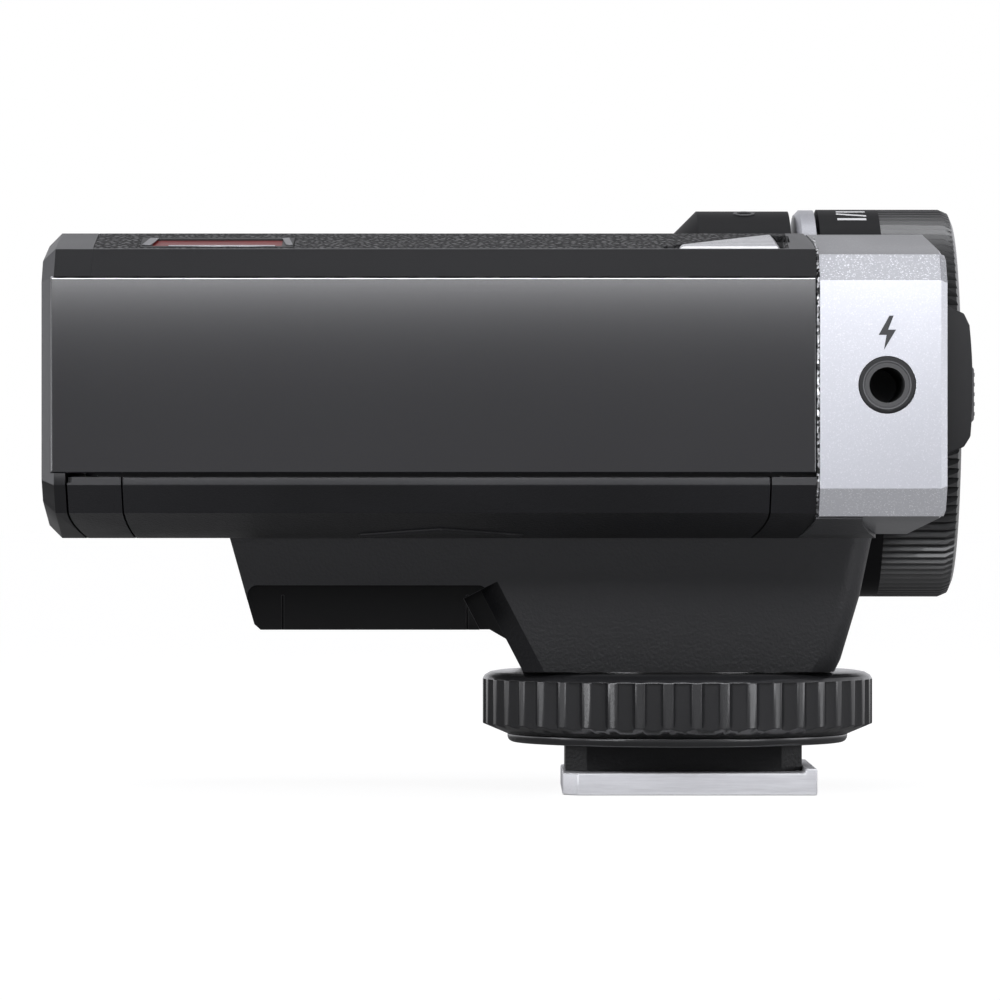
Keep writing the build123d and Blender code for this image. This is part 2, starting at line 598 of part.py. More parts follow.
with BuildPart() as shell_screws:
    for x, y in SCREW_SPOTS:
        rod_z(1.8, (DECK_LOW + 0.3, DECK_LOW + 1.6), x, y)
        rod_z(0.9, (DECK_LOW + 1.6, SEAM_LOW - 0.5), x, y)
shell_screws.part.label = "shell_screws"
export_step(shell_screws.part, "parts/shell_screws.step")

with BuildPart() as battery_door:
    with BuildSketch(Plane.YZ.offset(DOOR_X[0])):
        body_outline()
    extrude(amount=DOOR_X[1] - DOOR_X[0])
    with BuildSketch(Plane.YZ.offset(DOOR_X[0])):
        body_outline(DOOR_SKIN)
    extrude(amount=80, mode=Mode.SUBTRACT)
    box_between((-60, 30), (-40, 40), (SEAM_LOW, 60), mode=Mode.SUBTRACT)
    with BuildSketch(Plane.XY.offset(15)):
        door_plan()
    extrude(amount=30, mode=Mode.INTERSECT)
    # the raised chevron that the thumb pushes outwards
    with BuildSketch(Plane.XY.offset(15)):
        Polygon(
            (-25.2, -26.9),
            (-18.9, -28.6),
            (-12.6, -26.9),
            (-12.6, -26.2),
            (-18.9, -27.9),
            (-25.2, -26.2),
            align=None,
        )
    extrude(amount=6.5)
    with BuildSketch(Plane.YZ.offset(DOOR_X[0])):
        body_outline()
        offset(amount=0.22, kind=Kind.INTERSECTION, mode=Mode.REPLACE)
    extrude(amount=80, mode=Mode.INTERSECT)
battery_door.part.label = "battery_door"
export_step(battery_door.part, "parts/battery_door.step")

with BuildPart() as battery_cradle:
    box_between(CRADLE_X, CRADLE_Y, CRADLE_Z)
    for y in CELL_YS:
        rod_x(CELL_R + 0.15, (CRADLE_X[0] + 1, CRADLE_X[1] - 1), y, CELL_Z, mode=Mode.SUBTRACT)
        box_between(
            (CRADLE_X[0] + 1, CRADLE_X[1] - 1),
            (y - CELL_R - 0.15, y + CELL_R + 0.15),
            (15, CELL_Z),
            mode=Mode.SUBTRACT,
        )
    # keep what lies inside the shell
    with BuildSketch(Plane.YZ.offset(-60)):
        body_outline(SHELL_INSET)
    extrude(amount=100, mode=Mode.INTERSECT)
battery_cradle.part.label = "battery_cradle"
export_step(battery_cradle.part, "parts/battery_cradle.step")

with BuildPart() as aaa_cells:
    for y, way in zip(CELL_YS, (1, -1)):
        rod_x(CELL_R, (CELL_X - CELL_LENGTH / 2, CELL_X + CELL_LENGTH / 2), y, CELL_Z)
        end = CELL_X + way * CELL_LENGTH / 2
        rod_x(NUB_R, (min(end, end + way * NUB_LENGTH), max(end, end + way * NUB_LENGTH)), y, CELL_Z)
    chamfer(aaa_cells.edges().filter_by(GeomType.CIRCLE).filter_by(lambda e: e.radius > 5), 0.4)
aaa_cells.part.label = "aaa_cells"
export_step(aaa_cells.part, "parts/aaa_cells.step")

with BuildPart() as battery_springs:
    # one conical spring at each flat end, as stacked rings that narrow towards the cell
    for y, way in zip(CELL_YS, (-1, 1)):
        start = CRADLE_X[0] + 1.0 if way < 0 else CRADLE_X[1] - 1.0
        end = CELL_X + way * CELL_LENGTH / 2
        with BuildSketch(Plane.XZ.offset(-y)):
            Polygon(
                (start, CELL_Z + 2.2),
                (start, CELL_Z + 3.2),
                (end, CELL_Z + 2.0),
                (end, CELL_Z + 1.2),
                align=None,
            )
        revolve(axis=Axis((0, y, CELL_Z), (1, 0, 0)))
battery_springs.part.label = "battery_springs"
export_step(battery_springs.part, "parts/battery_springs.step")

with BuildPart() as battery_contacts:
    for y, way in zip(CELL_YS, (1, -1)):
        wall = CRADLE_X[1] - 1.0 if way > 0 else CRADLE_X[0] + 1.0
        plate = (min(wall, wall - way * 0.3), max(wall, wall - way * 0.3))
        box_between(plate, (y - 3.2, y + 3.2), (CELL_Z - 2.4, CELL_Z + 3.4))
battery_contacts.part.label = "battery_contacts"
export_step(battery_contacts.part, "parts/battery_contacts.step")

# ---------------------------------------------------------------- electronics
with BuildPart() as main_board:
    box_between((-33.0, 8.2), (-27.0, 30.0), BOARD_Z)
    rod_x(HUMP_R - HUMP_WALL - 0.6, (-10, 20), DIAL_Y, DIAL_Z, mode=Mode.SUBTRACT)
main_board.part.label = "main_board"
export_step(main_board.part, "parts/main_board.step")

CAPACITOR_X, CAPACITOR_Z, CAPACITOR_R = -24.0, 31.6, 6.6
with BuildPart() as main_capacitor:
    rod_y(CAPACITOR_R, (-9.0, 29.0), CAPACITOR_X, CAPACITOR_Z)
    fillet(main_capacitor.edges().filter_by(GeomType.CIRCLE), 0.6)
main_capacitor.part.label = "main_capacitor"
export_step(main_capacitor.part, "parts/main_capacitor.step")

with BuildPart() as capacitor_clip:
    box_between((CAPACITOR_X - 4, CAPACITOR_X + 4), (4, 16), (DECK_LOW + FLOOR_INSET, 27.5))
    rod_y(CAPACITOR_R + RUNNING_GAP, (0, 20), CAPACITOR_X, CAPACITOR_Z, mode=Mode.SUBTRACT)
capacitor_clip.part.label = "capacitor_clip"
export_step(capacitor_clip.part, "parts/capacitor_clip.step")

with BuildPart() as transformer:
    box_between((-14.0, -4.0), (-4.0, 8.0), (30.6, BOARD_Z[0]))
    box_between((-13.0, -5.0), (-5.4, 9.4), (32.2, 38.0))
transformer.part.label = "transformer"
export_step(transformer.part, "parts/transformer.step")

with BuildPart() as trigger_coil:
    rod_z(2.6, (32.4, BOARD_Z[0]), -12.0, 22.0)
trigger_coil.part.label = "trigger_coil"
export_step(trigger_coil.part, "parts/trigger_coil.step")

# ---------------------------------------------------------------- rear block, panel and controls
with BuildPart() as rear_bezel:
    half = [
        (HALF_WIDTH, SILVER_SIDE_LOW),
        (HALF_WIDTH, SILVER_SIDE_HIGH),
        (BEVEL_Y, SILVER_BEVEL_HIGH),
        (DECK_Y, SILVER_DECK_HIGH),
    ]
    low = [(-BEVEL_Y, SILVER_BEVEL_LOW), (-DECK_Y, SILVER_DECK_LOW)]
    other_low = [(-y, z) for y, z in reversed(low)]
    with BuildSketch(Plane.YZ.offset(SILVER_FRONT_X)):
        Polygon(*half, *[(-y, z) for y, z in reversed(half)], *low, *other_low, align=None)
    extrude(amount=SILVER_REAR_X - SILVER_FRONT_X)
    chamfer(rear_bezel.faces().sort_by(Axis.X)[-1].edges(), REAR_CHAMFER)
    # the rear face leans forward above and below the bevels
    with BuildSketch(Plane.XZ):
        lean_x = SILVER_REAR_X - REAR_CHAMFER / 2
        for z0, z1, x, far_z in (
            (SILVER_BEVEL_HIGH, SILVER_DECK_HIGH, REAR_LEAN_HIGH, 50),
            (SILVER_BEVEL_LOW, SILVER_DECK_LOW, REAR_LEAN_LOW, 15),
        ):
            Polygon((lean_x, z0), (x, z1), (x, far_z), (30, far_z), (30, z0), align=None)
    extrude(amount=40, both=True, mode=Mode.SUBTRACT)
    # a thin tongue that laps over the end of the upper shell's deck
    with BuildPart(mode=Mode.PRIVATE) as tongue:
        with BuildSketch(Plane.YZ.offset(SHELL_REAR_X - 2)):
            top = [(y, z) for y, z in half[2:]]
            ring = [(y, z - TONGUE_DEPTH) for y, z in top]
            low = [*[(-y, z) for y, z in ring], *reversed(ring)]
            Polygon(*top, *[(-y, z) for y, z in reversed(top)], *low, align=None)
        extrude(amount=SILVER_FRONT_X - SHELL_REAR_X + 2.5)
        with BuildSketch(Plane.XY.offset(30)):
            beyond_seam(SILVER_FRONT_X, SHELL_BEND_HIGH, 0)
        extrude(amount=20, mode=Mode.SUBTRACT)
        rod_x(HUMP_R + SILVER_FRONT_X - HUMP_REAR_X, (0, SILVER_FRONT_X), DIAL_Y, DIAL_Z, mode=Mode.SUBTRACT)
    add(tongue.part)
    # the room behind the rear panel, and the panel's opening
    inside_y = (-HALF_WIDTH + REAR_WALL, PANEL_Y[1] + 1.0)
    inside_z = (PANEL_Z[0] - 1.0, PANEL_Z[1] + 1.0)
    box_between((0, SILVER_REAR_X - REAR_WALL), inside_y, inside_z, mode=Mode.SUBTRACT)
    with BuildSketch(Plane.YZ.offset(SILVER_FRONT_X)):
        with Locations((sum(PANEL_Y) / 2, sum(PANEL_Z) / 2)):
            RectangleRounded(PANEL_Y[1] - PANEL_Y[0], PANEL_Z[1] - PANEL_Z[0], 1.5)
    extrude(amount=20, mode=Mode.SUBTRACT)
    # the round band in front of the dial, and the pocket that the dial turns in
    with BuildSketch(Plane.XY.offset(DIAL_Z)):
        Polygon(
            (BAND_X[0], DIAL_Y),
            (BAND_X[0], DIAL_Y + BAND_R - 0.4),
            (BAND_X[0] + 0.4, DIAL_Y + BAND_R),
            (BAND_X[1], DIAL_Y + BAND_R),
            (BAND_X[1], DIAL_Y),
            align=None,
        )
    revolve(axis=AXIS_DIAL, revolution_arc=180)
    dial_pocket()
    rod_x(SHAFT_R + RUNNING_GAP, (0, 20), DIAL_Y, DIAL_Z, mode=Mode.SUBTRACT)
    rod_y(JACK_COLLAR_R, (-40, -30), JACK_X, JACK_Z, mode=Mode.SUBTRACT)
rear_bezel.part.label = "rear_bezel"
export_step(rear_bezel.part, "parts/rear_bezel.step")

FLANGE_X = (SILVER_REAR_X - REAR_WALL - 0.5, SILVER_REAR_X - REAR_WALL)
with BuildPart() as rear_panel:
    with BuildSketch(Plane.YZ.offset(FLANGE_X[1])):
        with Locations((sum(PANEL_Y) / 2, sum(PANEL_Z) / 2)):
            RectangleRounded(PANEL_Y[1] - PANEL_Y[0], PANEL_Z[1] - PANEL_Z[0], 1.5)
    extrude(amount=PANEL_REAR_X - FLANGE_X[1])
    box_between(FLANGE_X, (PANEL_Y[0] - 0.9, PANEL_Y[1] + 0.9), (PANEL_Z[0] - 0.9, PANEL_Z[1] + 0.9))
    box_between((0, 30), SWITCH_SLOT_Y, SWITCH_SLOT_Z, mode=Mode.SUBTRACT)
    rod_x(BUTTON_R + 0.3, (0, 30), BUTTON_Y, BUTTON_Z, mode=Mode.SUBTRACT)
    rod_x(LAMP_R, (0, 30), BUTTON_Y, LAMP_Z, mode=Mode.SUBTRACT)
rear_panel.part.label = "rear_panel"
export_step(rear_panel.part, "parts/rear_panel.step")

with BuildPart() as switch_surround:
    with BuildSketch(Plane.XZ.offset(-sum(SWITCH_Y) / 2)):
        with BuildLine():
            Polyline((21.1, 27.6), (PANEL_REAR_X, 26.8), (PANEL_REAR_X, 38.6), (21.1, 37.8))
            Line((21.1, 37.8), (21.53, 36.9))
            ThreePointArc((21.53, 36.9), (21.77, 32.3), (21.6, 28.4))
            Line((21.6, 28.4), (21.1, 27.6))
        make_face()
    extrude(amount=(SWITCH_Y[1] - SWITCH_Y[0]) / 2, both=True)
    box_between((0, 30), SWITCH_SLOT_Y, SWITCH_SLOT_Z, mode=Mode.SUBTRACT)
switch_surround.part.label = "switch_surround"
export_step(switch_surround.part, "parts/switch_surround.step")

KNOB_Z = (SWITCH_SLOT_Z[0] + 0.15, SWITCH_SLOT_Z[0] + 0.15 + KNOB_HEIGHT)
with BuildPart() as power_slider:
    knob_y = (SWITCH_SLOT_Y[0] + 0.1, SWITCH_SLOT_Y[1] - 0.1)
    box_between((FLANGE_X[0] - 0.05, 22.0), knob_y, KNOB_Z)
    foot_y = (SWITCH_SLOT_Y[0] - 0.8, SWITCH_SLOT_Y[1] + 0.8)
    box_between((FLANGE_X[0] - 0.4, FLANGE_X[0] - 0.05), foot_y, (KNOB_Z[0] - 0.6, KNOB_Z[1] + 0.6))
    chamfer(power_slider.faces().sort_by(Axis.X)[-1].edges(), 0.35)
power_slider.part.label = "power_slider"
export_step(power_slider.part, "parts/power_slider.step")

with BuildPart() as test_button:
    rod_x(BUTTON_R, (FLANGE_X[0] - 0.1, PANEL_REAR_X + 0.75), BUTTON_Y, BUTTON_Z)
    fillet(test_button.faces().sort_by(Axis.X)[-1].edges(), 0.35)
    rod_x(BUTTON_R + 0.9, (FLANGE_X[0] - 0.8, FLANGE_X[0] - 0.1), BUTTON_Y, BUTTON_Z)
    rod_x(1.2, (FLANGE_X[0] - 1.6, FLANGE_X[0] - 0.8), BUTTON_Y, BUTTON_Z)
test_button.part.label = "test_button"
export_step(test_button.part, "parts/test_button.step")

with BuildPart() as ready_lamp:
    rod_x(LAMP_R, (FLANGE_X[0] - 2.0, PANEL_REAR_X + 0.3), BUTTON_Y, LAMP_Z)
    fillet(ready_lamp.faces().sort_by(Axis.X)[-1].edges(), 0.5)
ready_lamp.part.label = "ready_lamp"
export_step(ready_lamp.part, "parts/ready_lamp.step")

REAR_BOARD_X = (SILVER_FRONT_X + 1.0, SILVER_FRONT_X + 2.0)
with BuildPart() as rear_board:
    board_y = (-HALF_WIDTH + REAR_WALL, PANEL_Y[1] + 1.0)
    box_between(REAR_BOARD_X, board_y, (PANEL_Z[0] - 1.0, PANEL_Z[1] + 1.0))
rear_board.part.label = "rear_board"
export_step(rear_board.part, "parts/rear_board.step")

with BuildPart() as tactile_switch:
    body_x = (REAR_BOARD_X[1], REAR_BOARD_X[1] + 2.2)
    box_between(body_x, (BUTTON_Y - 2.5, BUTTON_Y + 2.5), (BUTTON_Z - 2.5, BUTTON_Z + 2.5))
    rod_x(1.0, (body_x[1], FLANGE_X[0] - 1.6 - BUTTON_TRAVEL - 0.1), BUTTON_Y, BUTTON_Z)
tactile_switch.part.label = "tactile_switch"
export_step(tactile_switch.part, "parts/tactile_switch.step")

with BuildPart() as sync_jack:
    outside, wall = -HALF_WIDTH, -HALF_WIDTH + REAR_WALL
    block_y = (wall, outside + JACK_DEPTH + 1.5)
    box_between((JACK_X - 1.9, JACK_X + 1.9), block_y, (JACK_Z - 2.4, JACK_Z + 2.4))
    rod_y(JACK_SLEEVE_R, (outside + 0.1, wall), JACK_X, JACK_Z)
    bore_y = (outside - 1, outside + JACK_DEPTH)
    rod_y(JACK_BORE_R, bore_y, JACK_X, JACK_Z, mode=Mode.SUBTRACT)
sync_jack.part.label = "sync_jack"
export_step(sync_jack.part, "parts/sync_jack.step")

with BuildPart() as jack_collar:
    with BuildSketch(Plane.XZ.offset(HALF_WIDTH - REAR_WALL)):
        with Locations((JACK_X, JACK_Z)):
            Circle(JACK_COLLAR_R)
            Circle(JACK_SLEEVE_R, mode=Mode.SUBTRACT)
    extrude(amount=REAR_WALL - 0.05)
jack_collar.part.label = "jack_collar"
export_step(jack_collar.part, "parts/jack_collar.step")

# ---------------------------------------------------------------- power dial
with BuildPart() as power_dial:
    # half-section through the axis: a cup with a hub, open towards the front
    rear_x = DIAL_X[1]
    with BuildSketch(Plane.XY.offset(DIAL_Z)):
        Polygon(
            (DIAL_X[0] + 0.2, DIAL_Y + SHAFT_R),
            (DIAL_X[0] + 0.2, DIAL_Y + 4.2),
            (rear_x - DIAL_SKIN - 0.8, DIAL_Y + 4.2),
            (rear_x - DIAL_SKIN - 0.8, DIAL_Y + DIAL_R - DIAL_SKIN),
            (DIAL_X[0], DIAL_Y + DIAL_R - DIAL_SKIN),
            (DIAL_X[0], DIAL_Y + DIAL_R),
            (rear_x - DIAL_RIM, DIAL_Y + DIAL_R),
            (rear_x - 0.3 * DIAL_RIM, DIAL_Y + DIAL_R - 0.3 * DIAL_RIM),
            (rear_x, DIAL_Y + DIAL_R - DIAL_RIM),
            (rear_x, DIAL_Y + DIAL_FACE_R),
            (rear_x - DIAL_FACE_DEPTH, DIAL_Y + DIAL_FACE_R),
            (rear_x - DIAL_FACE_DEPTH, DIAL_Y + SHAFT_R),
            align=None,
        )
    revolve(axis=AXIS_DIAL)
    # straight knurls round the rear part of the rim
    with BuildSketch(Plane.YZ.offset(KNURL_FRONT_X)):
        with Locations((DIAL_Y, DIAL_Z)):
            with PolarLocations(DIAL_R + 0.02, KNURLS):
                RegularPolygon(KNURL_DEPTH + 0.02, 3, major_radius=False, rotation=180)
    extrude(amount=10, mode=Mode.SUBTRACT)
power_dial.part.label = "power_dial"
export_step(power_dial.part, "parts/power_dial.step")

with BuildPart() as dial_cap:
    rod_x(DIAL_FACE_R - 0.02, (DIAL_X[1] - DIAL_FACE_DEPTH, DIAL_X[1] - 0.05), DIAL_Y, DIAL_Z)
    chamfer(dial_cap.faces().sort_by(Axis.X)[-1].edges(), 0.2)
dial_cap.part.label = "dial_cap"
export_step(dial_cap.part, "parts/dial_cap.step")

SWITCH_BODY_X = (3.2, SILVER_FRONT_X)
with BuildPart() as dial_shaft:
    rod_x(SHAFT_R, (SWITCH_BODY_X[0] + 1.0, DIAL_X[1] - DIAL_FACE_DEPTH), DIAL_Y, DIAL_Z)
dial_shaft.part.label = "dial_shaft"
export_step(dial_shaft.part, "parts/dial_shaft.step")

with BuildPart() as rotary_switch:
    rod_x(5.6, SWITCH_BODY_X, DIAL_Y, DIAL_Z)
    rod_x(SHAFT_R + RUNNING_GAP, (SWITCH_BODY_X[0] + 0.9, 20), DIAL_Y, DIAL_Z, mode=Mode.SUBTRACT)
rotary_switch.part.label = "rotary_switch"
export_step(rotary_switch.part, "parts/rotary_switch.step")

with BuildPart() as detent_spring:
    root_x, tip_x = BAND_X[1] + 0.4, BAND_X[1] + 1.6
    box_between((BAND_X[1], root_x), (DIAL_Y - 5, DIAL_Y + 5), (DIAL_Z + 8, DIAL_Z + 10))
    box_between((root_x, tip_x), (DIAL_Y - 0.6, DIAL_Y + 0.6), (DIAL_Z + 8.2, DIAL_Z + 9.8))
detent_spring.part.label = "detent_spring"
export_step(detent_spring.part, "parts/detent_spring.step")

with BuildPart() as index_mark:
    out = Vector(0, -sin(INDEX_TURN), cos(INDEX_TURN))
    roof = Plane(Vector(INDEX_X, DIAL_Y, DIAL_Z) + out * HUMP_R, x_dir=(1, 0, 0), z_dir=out)
    with BuildSketch(roof):
        Circle(0.9)
        Circle(0.6, mode=Mode.SUBTRACT)
    extrude(amount=0.08)
index_mark.part.label = "index_mark"
export_step(index_mark.part, "parts/index_mark.step")

# ---------------------------------------------------------------- foot
with BuildPart() as foot_housing:
    with BuildSketch(Plane.XZ):
        Polygon(*HOUSING_SIDE, align=None)
    extrude(amount=HOUSING_HALF_WIDTH, both=True)
    rear_edges = foot_housing.edges().filter_by(lambda e: e.center().X > 12.3 and e.center().Y != 0)
    fillet(rear_edges, HOUSING_REAR_R)
    add(saddle(SHELL_REAR_X + 0.5 * SEAM_GAP))
    # the neck's two front corners are cut along the slope of its front
    neck_foot, neck_knee = Vector(-12.55, 0, 9.9), Vector(-13.9, 0, 12.5)
    along = (neck_knee - neck_foot).normalized()
    length = (NECK_CORNER_TOP_Z - neck_foot.Z + 1.0) / along.Z
    for side in (-1, 1):
        corner = Vector(neck_foot.X, side * HOUSING_HALF_WIDTH, neck_foot.Z) - along * (1.0 / along.Z)
        with BuildSketch(Plane(corner, x_dir=(0, -side, 0), z_dir=along)):
            cut, reach = NECK_CORNER, side * NECK_CORNER
            Polygon((-1, reach), (0, reach), (cut, 0), (cut, -reach), (-1, -reach), align=None)
        extrude(amount=length, mode=Mode.SUBTRACT)
    # shallow label recess on each side, with a groove near each end
    for side in (-1, 1):
        with BuildSketch(Plane.XZ.offset(-side * HOUSING_HALF_WIDTH)):
            with Locations((sum(LABEL_X) / 2, LABEL_TOP_Z - 3)):
                RectangleRounded(LABEL_X[1] - LABEL_X[0], 6, LABEL_CORNER)
            with Locations((sum(LABEL_X) / 2, LABEL_TOP_Z - 4)):
                Rectangle(LABEL_X[1] - LABEL_X[0], 4)
        extrude(amount=side * LABEL_DEPTH, mode=Mode.SUBTRACT)
    for x in LABEL_GROOVES_X:
        for side in (-1, 1):
            inner, outer = HOUSING_HALF_WIDTH - LABEL_DEPTH - GROOVE_WIDTH, HOUSING_HALF_WIDTH + 1
            ys = (side * inner, side * outer) if side > 0 else (side * outer, side * inner)
            box_between((x, x + GROOVE_WIDTH), ys, (10, LABEL_TOP_Z - LABEL_CORNER), mode=Mode.SUBTRACT)
    dial_pocket()
    rod_z(3.0, (NECK_LOW_Z - 1, DECK_LOW + 1), mode=Mode.SUBTRACT)
foot_housing.part.label = "foot_housing"
export_step(foot_housing.part, "parts/foot_housing.step")

with BuildPart() as shoe_stem:
    with BuildSketch(Plane.XY.offset(PLATE_Z)):
        stem_outline()
    extrude(amount=NECK_LOW_Z - PLATE_Z)
    rod_z(2.2, (0, SPRING_TOP_Z), mode=Mode.SUBTRACT)
    rod_z(0.7, (0, 20), mode=Mode.SUBTRACT)
    for x, y in FOOT_SCREW_SPOTS:
        rod_z(0.8, (0, 6), x, y, mode=Mode.SUBTRACT)
shoe_stem.part.label = "shoe_stem"
export_step(shoe_stem.part, "parts/shoe_stem.step")

with BuildPart() as thread_sleeve:
    with BuildSketch(Plane.XY.offset(SLEEVE_LOW_Z)):
        Circle(SLEEVE_R)
    extrude(amount=NECK_LOW_Z - SLEEVE_LOW_Z)
    with BuildSketch(Plane.XY.offset(SLEEVE_LOW_Z)):
        stem_outline()
    extrude(amount=NECK_LOW_Z - SLEEVE_LOW_Z, mode=Mode.SUBTRACT)
thread_sleeve.part.label = "thread_sleeve"
export_step(thread_sleeve.part, "parts/thread_sleeve.step")

with BuildPart() as lock_ring:
    with BuildSketch(Plane.XZ):
        Polygon(
            (SLEEVE_R + RUNNING_GAP, 5.3),
            (SLEEVE_R + RUNNING_GAP, RING_Z[1]),
            (RING_R - 1.25, RING_Z[1]),
            (RING_R - 0.6, RING_Z[1] - 0.11),
            (RING_R - 0.17, RING_Z[1] - 0.36),
            (RING_R, FLUTE_TOP_Z),
            (RING_R, 5.5),
            (13.85, RING_Z[0]),
            (12.6, RING_Z[0]),
            (12.6, 5.3),
            align=None,
        )
    revolve(axis=Axis.Z)
    # finger flutes, open below and closed by the smooth top rim
    with BuildSketch(Plane.XY.offset(RING_Z[0] - 1)):
        with PolarLocations(RING_R + FLUTE_OUT, RING_FLUTES):
            Circle(FLUTE_R)
    extrude(amount=FLUTE_TOP_Z - RING_Z[0] + 1, mode=Mode.SUBTRACT)
lock_ring.part.label = "lock_ring"
export_step(lock_ring.part, "parts/lock_ring.step")

with BuildPart() as clamp_plate:
    rod_z(CLAMP_R, CLAMP_Z)
    fillet(clamp_plate.faces().sort_by(Axis.Z)[0].edges(), 0.5)
    rod_z(12.4, (CLAMP_Z[1], 5.2))
    with BuildSketch(Plane.XY):
        stem_outline(0.15)
    extrude(amount=10, mode=Mode.SUBTRACT)
clamp_plate.part.label = "clamp_plate"
export_step(clamp_plate.part, "parts/clamp_plate.step")

with BuildPart() as shoe_plate:
    plate_y = (-PLATE_HALF_WIDTH, PLATE_HALF_WIDTH)
    box_between(PLATE_X, plate_y, (0, PLATE_Z))
    chamfer(shoe_plate.edges().filter_by(Axis.Z).sort_by(Axis.X)[:2], 1.2)
    box_between((STEM_X[1] + 0.06, PLATE_X[1]), plate_y, (PLATE_Z, STOP_Z))
    rod_z(2.2, (-1, 5), mode=Mode.SUBTRACT)
    for x, y in FOOT_SCREW_SPOTS:
        rod_z(1.35, (-1, 0.9), x, y, mode=Mode.SUBTRACT)
        rod_z(0.8, (0, 6), x, y, mode=Mode.SUBTRACT)
shoe_plate.part.label = "shoe_plate"
export_step(shoe_plate.part, "parts/shoe_plate.step")

with BuildPart() as foot_screws:
    for x, y in FOOT_SCREW_SPOTS:
        rod_z(1.3, (0.1, 0.9), x, y)
        rod_z(0.8, (0.9, 5.8), x, y)
foot_screws.part.label = "foot_screws"
export_step(foot_screws.part, "parts/foot_screws.step")

with BuildPart() as contact_insulator:
    rod_z(2.2, (0.12, 3.2))
    rod_z(CONTACT_R + 0.08, (-1, 10), mode=Mode.SUBTRACT)
    rod_z(1.7, (1.9, 10), mode=Mode.SUBTRACT)
contact_insulator.part.label = "contact_insulator"
export_step(contact_insulator.part, "parts/contact_insulator.step")

with BuildPart() as centre_contact:
    rod_z(CONTACT_R, (0.02, 1.9))
    rod_z(1.6, (1.9, 2.3))
    fillet(centre_contact.faces().sort_by(Axis.Z)[0].edges(), 0.4)
centre_contact.part.label = "centre_contact"
export_step(centre_contact.part, "parts/centre_contact.step")

with BuildPart() as contact_spring:
    with BuildSketch(Plane.XY.offset(2.95)):
        Circle(1.5)
        Circle(1.0, mode=Mode.SUBTRACT)
    extrude(amount=SPRING_TOP_Z - 2.95)
contact_spring.part.label = "contact_spring"
export_step(contact_spring.part, "parts/contact_spring.step")
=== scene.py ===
"""Looks for a compact retro speedlight flash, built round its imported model."""
import json
from math import cos, pi, radians, sin

import bpy
from mathutils import Matrix, Vector

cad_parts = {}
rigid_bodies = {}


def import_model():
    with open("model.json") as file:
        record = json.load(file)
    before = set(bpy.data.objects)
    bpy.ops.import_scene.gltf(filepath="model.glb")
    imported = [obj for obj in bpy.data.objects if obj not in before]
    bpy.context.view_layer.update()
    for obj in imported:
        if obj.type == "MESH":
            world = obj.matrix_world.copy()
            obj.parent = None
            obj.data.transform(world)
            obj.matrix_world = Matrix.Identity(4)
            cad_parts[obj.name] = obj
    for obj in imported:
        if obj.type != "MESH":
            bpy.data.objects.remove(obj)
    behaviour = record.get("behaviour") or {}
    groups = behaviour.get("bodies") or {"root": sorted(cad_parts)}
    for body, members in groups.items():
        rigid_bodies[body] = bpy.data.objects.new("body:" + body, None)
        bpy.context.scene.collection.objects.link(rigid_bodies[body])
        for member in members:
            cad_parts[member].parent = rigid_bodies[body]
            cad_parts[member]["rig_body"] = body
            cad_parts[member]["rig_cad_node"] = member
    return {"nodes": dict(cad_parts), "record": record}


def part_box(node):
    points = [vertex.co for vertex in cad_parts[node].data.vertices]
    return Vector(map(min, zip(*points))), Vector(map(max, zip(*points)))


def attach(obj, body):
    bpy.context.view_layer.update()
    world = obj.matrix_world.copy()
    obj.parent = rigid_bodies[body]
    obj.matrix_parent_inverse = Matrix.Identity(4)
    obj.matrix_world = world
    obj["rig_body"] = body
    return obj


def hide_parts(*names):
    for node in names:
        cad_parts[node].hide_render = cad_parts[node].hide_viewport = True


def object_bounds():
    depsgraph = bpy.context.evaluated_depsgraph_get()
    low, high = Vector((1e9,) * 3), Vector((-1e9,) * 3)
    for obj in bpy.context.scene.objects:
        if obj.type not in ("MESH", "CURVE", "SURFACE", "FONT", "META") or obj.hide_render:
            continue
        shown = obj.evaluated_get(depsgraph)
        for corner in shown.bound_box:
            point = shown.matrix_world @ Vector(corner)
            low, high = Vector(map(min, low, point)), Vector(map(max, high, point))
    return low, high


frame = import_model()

MM = 0.001
nodes = frame["nodes"]
slot_of = {part["node"]: part["material_slot"] for part in frame["record"]["subparts"]}


def corners():
    """The shown object's lowest and highest corner, as plain lists."""
    return [list(corner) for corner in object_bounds()]


cad_box = corners()


# ---------------------------------------------------------------- selecting and shaping
def select_only(*pieces):
    """Select these objects alone, with the first one active."""
    bpy.ops.object.select_all(action="DESELECT")
    for piece in pieces:
        piece.select_set(True)
    bpy.context.view_layer.objects.active = pieces[0]


def apply_modifier(piece, kind, **settings):
    """Add a modifier with its settings and apply it."""
    select_only(piece)
    modifier = piece.modifiers.new(kind.lower(), kind)
    for setting, value in settings.items():
        setattr(modifier, setting, value)
    bpy.ops.object.modifier_apply(modifier=modifier.name)


def edit(piece, *steps):
    """Run edit-mode steps on the whole of a piece."""
    select_only(piece)
    bpy.ops.object.mode_set(mode="EDIT")
    bpy.ops.mesh.select_all(action="SELECT")
    for step in steps:
        step()
    bpy.ops.object.mode_set(mode="OBJECT")


def smooth(piece, angle=40):
    select_only(piece)
    bpy.ops.object.shade_smooth_by_angle(angle=radians(angle))


def settle(piece, place):
    """Apply a placing matrix to a piece's mesh, so that its object stays at the origin."""
    piece.matrix_world = place
    select_only(piece)
    bpy.ops.object.transform_apply(location=True, rotation=True, scale=True)


def join(name, parts):
    select_only(*parts)
    bpy.ops.object.join()
    whole = bpy.context.active_object
    whole.name = whole.data.name = name
    return whole


